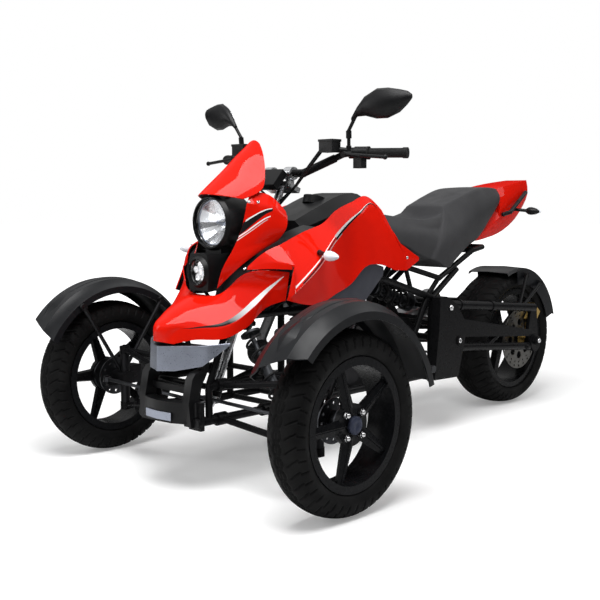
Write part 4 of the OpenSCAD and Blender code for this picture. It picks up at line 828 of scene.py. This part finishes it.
bolt_rows = [  # piece, head radius, spots on the left
    ("screen_bolts", 6.0, [spot(wing, 0.06, 0.85), spot(wing, 0.25, 0.86)]),
    ("panel_bolts", 6.0, [spot(panel, 0.93, 0.45)]),
    ("duct_bolts", 6.5, [(at((-38, 126, 713)), unit((0.82, 0.0, 0.57)))]),
    ("pivot_bolts", 12.0, [(at((-1170, 192, 365)), left_way), (at((-1108, 192, 505)), left_way)]),
    ("axle_nuts", 11.0, [(at(rear_hub + 206 * left_way), left_way)]),
]
for name, radius, spots in bolt_rows:
    bolts(name, both_sides(spots), radius)

# %% Mirror glass
# Outline of the left glass: distance out from the stem, low edge, high edge
mirror_rows = np.array([[22, 7, 40], [52, 8, 74], [94, -3, 96], [136, -3, 96], [180, 14, 88], [208, 38, 81]], float)
mirror_rows = spline(mirror_rows[:, None, :], 4)[:, 0]
mirror_root = np.array((-382, 288, 1208.0))
mirror_out, mirror_face = np.array((-0.18, 0.984, 0)), np.array((0.984, 0.18, 0))
glass_rim, glass_back, glass_dome, glass_wall = 5.0, 6.6, 2.0, 0.0012
across = np.linspace(-1, 1, 9)[None, :, None]
middle_z = (mirror_rows[:, 1:2] + mirror_rows[:, 2:]) / 2
half_z = (mirror_rows[:, 2:] - mirror_rows[:, 1:2]) / 2 - glass_rim
glass = (mirror_root + mirror_out * mirror_rows[:, None, :1] - mirror_face * (glass_back - glass_dome * across ** 2)
         + up_way * (middle_z[:, None] + half_z[:, None] * across))
glass_part = (at(glass).reshape(-1, 3), grid_faces(*glass.shape[:2]))
mirror_glass = add_piece("mirror_glass", *joined([glass_part, other_side(*glass_part)]), [finish["mirror"]],
                         "steering", "damper_metal")
thick_shell(mirror_glass, glass_wall)

# %% [markdown]
# ## Mudguard bands
# A flat raised band runs over each front mudguard and ends in a long diamond towards the front. It is a patch of the
# guard's own crown: the same arc, lifted by a few millimetres, with a half width that changes along it.


# %% Mudguard bands
guard_radius, band_sink, band_wall = 315.0, 0.6, 0.002
band_height, diamond_height = 2.6, 9.0
band_from, diamond_peak, diamond_to, band_to = 40.0, 50.0, 62.0, 160.0


def guard_band(word, hub):
    """Arc angle along, offset across: the crown's radius plus a lift, flat on the band and peaked on the diamond."""
    degrees = np.linspace(band_from, band_to, 121)[:, None]
    angle = np.radians(degrees)
    width_at = (band_from, diamond_peak, diamond_to, diamond_to + 2, band_to)
    width = np.interp(degrees, width_at, (1.0, 33.0, 14.0, 20.0, 24.0))
    part = np.linspace(-1, 1, 17)[None, :]
    off = part * width
    crown = np.interp(np.abs(off), (0, 45, 61.2), (53.0, 50.0, 37.0))
    band_ends = ease(degrees, diamond_to - 2, diamond_to + 2) * (1 - ease(degrees, band_to - 10, band_to))
    band_lift = band_height * (1 - np.abs(part) ** 8) * band_ends
    peak = np.interp(degrees, (band_from, diamond_peak, diamond_to), (0.0, 1.0, 0.0))
    peak_lift = diamond_height * (1 - np.abs(part)) * peak
    radius = guard_radius + crown + band_lift + peak_lift - band_sink
    points = np.stack([radius * np.cos(angle), hub[1] + off, hub[2] + radius * np.sin(angle)], -1)
    faces = grid_faces(*points.shape[:2])[:, ::-1]
    band = add_piece("guard_band_" + word, at(points), faces, [finish["fender_black"]], "knuckle_" + word,
                     "plastic_black")
    thick_shell(band, band_wall)


for word, hub in front_hub.items():
    guard_band(word, hub)

# %% [markdown]
# ## Studio
# The trike stands on a white floor that runs out of the picture. The floor and the world look white to the
# camera and through glass. Gloss mirrors a dimmer room that is bright overhead, so that upper faces shine and sides
# stay deep. Soft lamps light the trike and leave a soft shadow on the floor.


# %% Floor and world
def seen_ray(tree):
    """1 for rays that are seen directly or through glass, and 0 for the rest."""
    path = tree.nodes.new("ShaderNodeLightPath")
    seen = tree.nodes.new("ShaderNodeMath")
    seen.operation = "ADD"
    seen.use_clamp = True
    tree.links.new(path.outputs["Is Camera Ray"], seen.inputs[0])
    tree.links.new(path.outputs["Is Transmission Ray"], seen.inputs[1])
    return seen.outputs[0]


def gloss_level(tree, low, high, dim_below=0.25, bright_above=0.60):
    """What gloss mirrors: the level goes from low to high with the upward part of the ray's direction."""
    coords = tree.nodes.new("ShaderNodeTexCoord")
    parts = tree.nodes.new("ShaderNodeSeparateXYZ")
    tree.links.new(coords.outputs["Generated"], parts.inputs[0])
    rise = tree.nodes.new("ShaderNodeMapRange")
    rise.inputs["From Min"].default_value = dim_below
    rise.inputs["From Max"].default_value = bright_above
    rise.inputs["To Min"].default_value = low
    rise.inputs["To Max"].default_value = high
    tree.links.new(parts.outputs["Z"], rise.inputs["Value"])
    return rise.outputs[0]


def studio_world(level, gloss_low, gloss_high):
    """A white world that is seen at full strength, lights the trike at a lower level, and has its own gloss."""
    world = bpy.data.worlds.new("studio")
    world.use_nodes = True
    tree = world.node_tree
    background = tree.nodes["Background"]
    seen = seen_ray(tree)
    strength = tree.nodes.new("ShaderNodeMapRange")
    strength.inputs["To Min"].default_value = level
    strength.inputs["To Max"].default_value = 1.0
    tree.links.new(seen, strength.inputs["Value"])
    gloss = tree.nodes.new("ShaderNodeLightPath")
    choose = tree.nodes.new("ShaderNodeMix")
    tree.links.new(gloss.outputs["Is Glossy Ray"], choose.inputs[0])
    tree.links.new(strength.outputs[0], choose.inputs[2])
    tree.links.new(gloss_level(tree, gloss_low, gloss_high), choose.inputs[3])
    background.inputs["Color"].default_value = (1.0, 1.0, 1.0, 1.0)
    tree.links.new(choose.outputs[0], background.inputs["Strength"])
    bpy.context.scene.world = world


def studio_floor(size, glow, near=1.6, far=4.5):
    """A wide floor: matt white that takes the shadow, with a glow where it is seen that grows far from the trike."""
    mesh = bpy.data.meshes.new("floor")
    corner = size / 2
    mesh.from_pydata([(-corner, -corner, 0), (corner, -corner, 0), (corner, corner, 0), (-corner, corner, 0)],
                     [], [(0, 1, 2, 3)])
    floor = bpy.data.objects.new("floor", mesh)
    bpy.context.scene.collection.objects.link(floor)
    material = bpy.data.materials.new("floor_white")
    material.use_nodes = True
    tree = material.node_tree
    shader = tree.nodes["Principled BSDF"]
    shader.inputs["Base Color"].default_value = (0.86, 0.86, 0.86, 1.0)
    shader.inputs["Roughness"].default_value = 0.9
    shader.inputs["Specular IOR Level"].default_value = 0.0
    seen = seen_ray(tree)
    away = tree.nodes.new("ShaderNodeVectorMath")
    away.operation = "LENGTH"
    tree.links.new(object_place(material), away.inputs[0])
    level = spread(material, away.outputs["Value"], glow, 1.0, near, far)
    strength = add_node(material, "ShaderNodeMath", n0=seen, n1=level)
    strength.operation = "MULTIPLY"
    shader.inputs["Emission Color"].default_value = (1.0, 1.0, 1.0, 1.0)
    tree.links.new(strength.outputs[0], shader.inputs["Emission Strength"])
    mesh.materials.append(material)


def soft_lamp(name, place, target, size, watts):
    """A wide rectangular lamp that faces its target."""
    data = bpy.data.lights.new(name, "AREA")
    data.shape = "RECTANGLE"
    data.size, data.size_y = size
    data.energy = watts
    lamp = bpy.data.objects.new(name, data)
    lamp.location = place
    lamp.rotation_euler = (Vector(place) - Vector(target)).to_track_quat("Z", "Y").to_euler()
    bpy.context.scene.collection.objects.link(lamp)


studio_world(0.34, gloss_low=0.06, gloss_high=0.9)
studio_floor(60.0, 0.22)
middle = (0.0, 0.0, 0.6)
soft_lamp("key", (1.5, 0.9, 3.8), middle, (2.4, 2.4), 180.0)
soft_lamp("side", (3.4, -2.2, 1.8), middle, (1.6, 2.0), 36.0)
soft_lamp("rear", (-2.6, 2.0, 2.6), middle, (1.6, 2.0), 26.0)
print("studio: floor, world and 3 lamps")
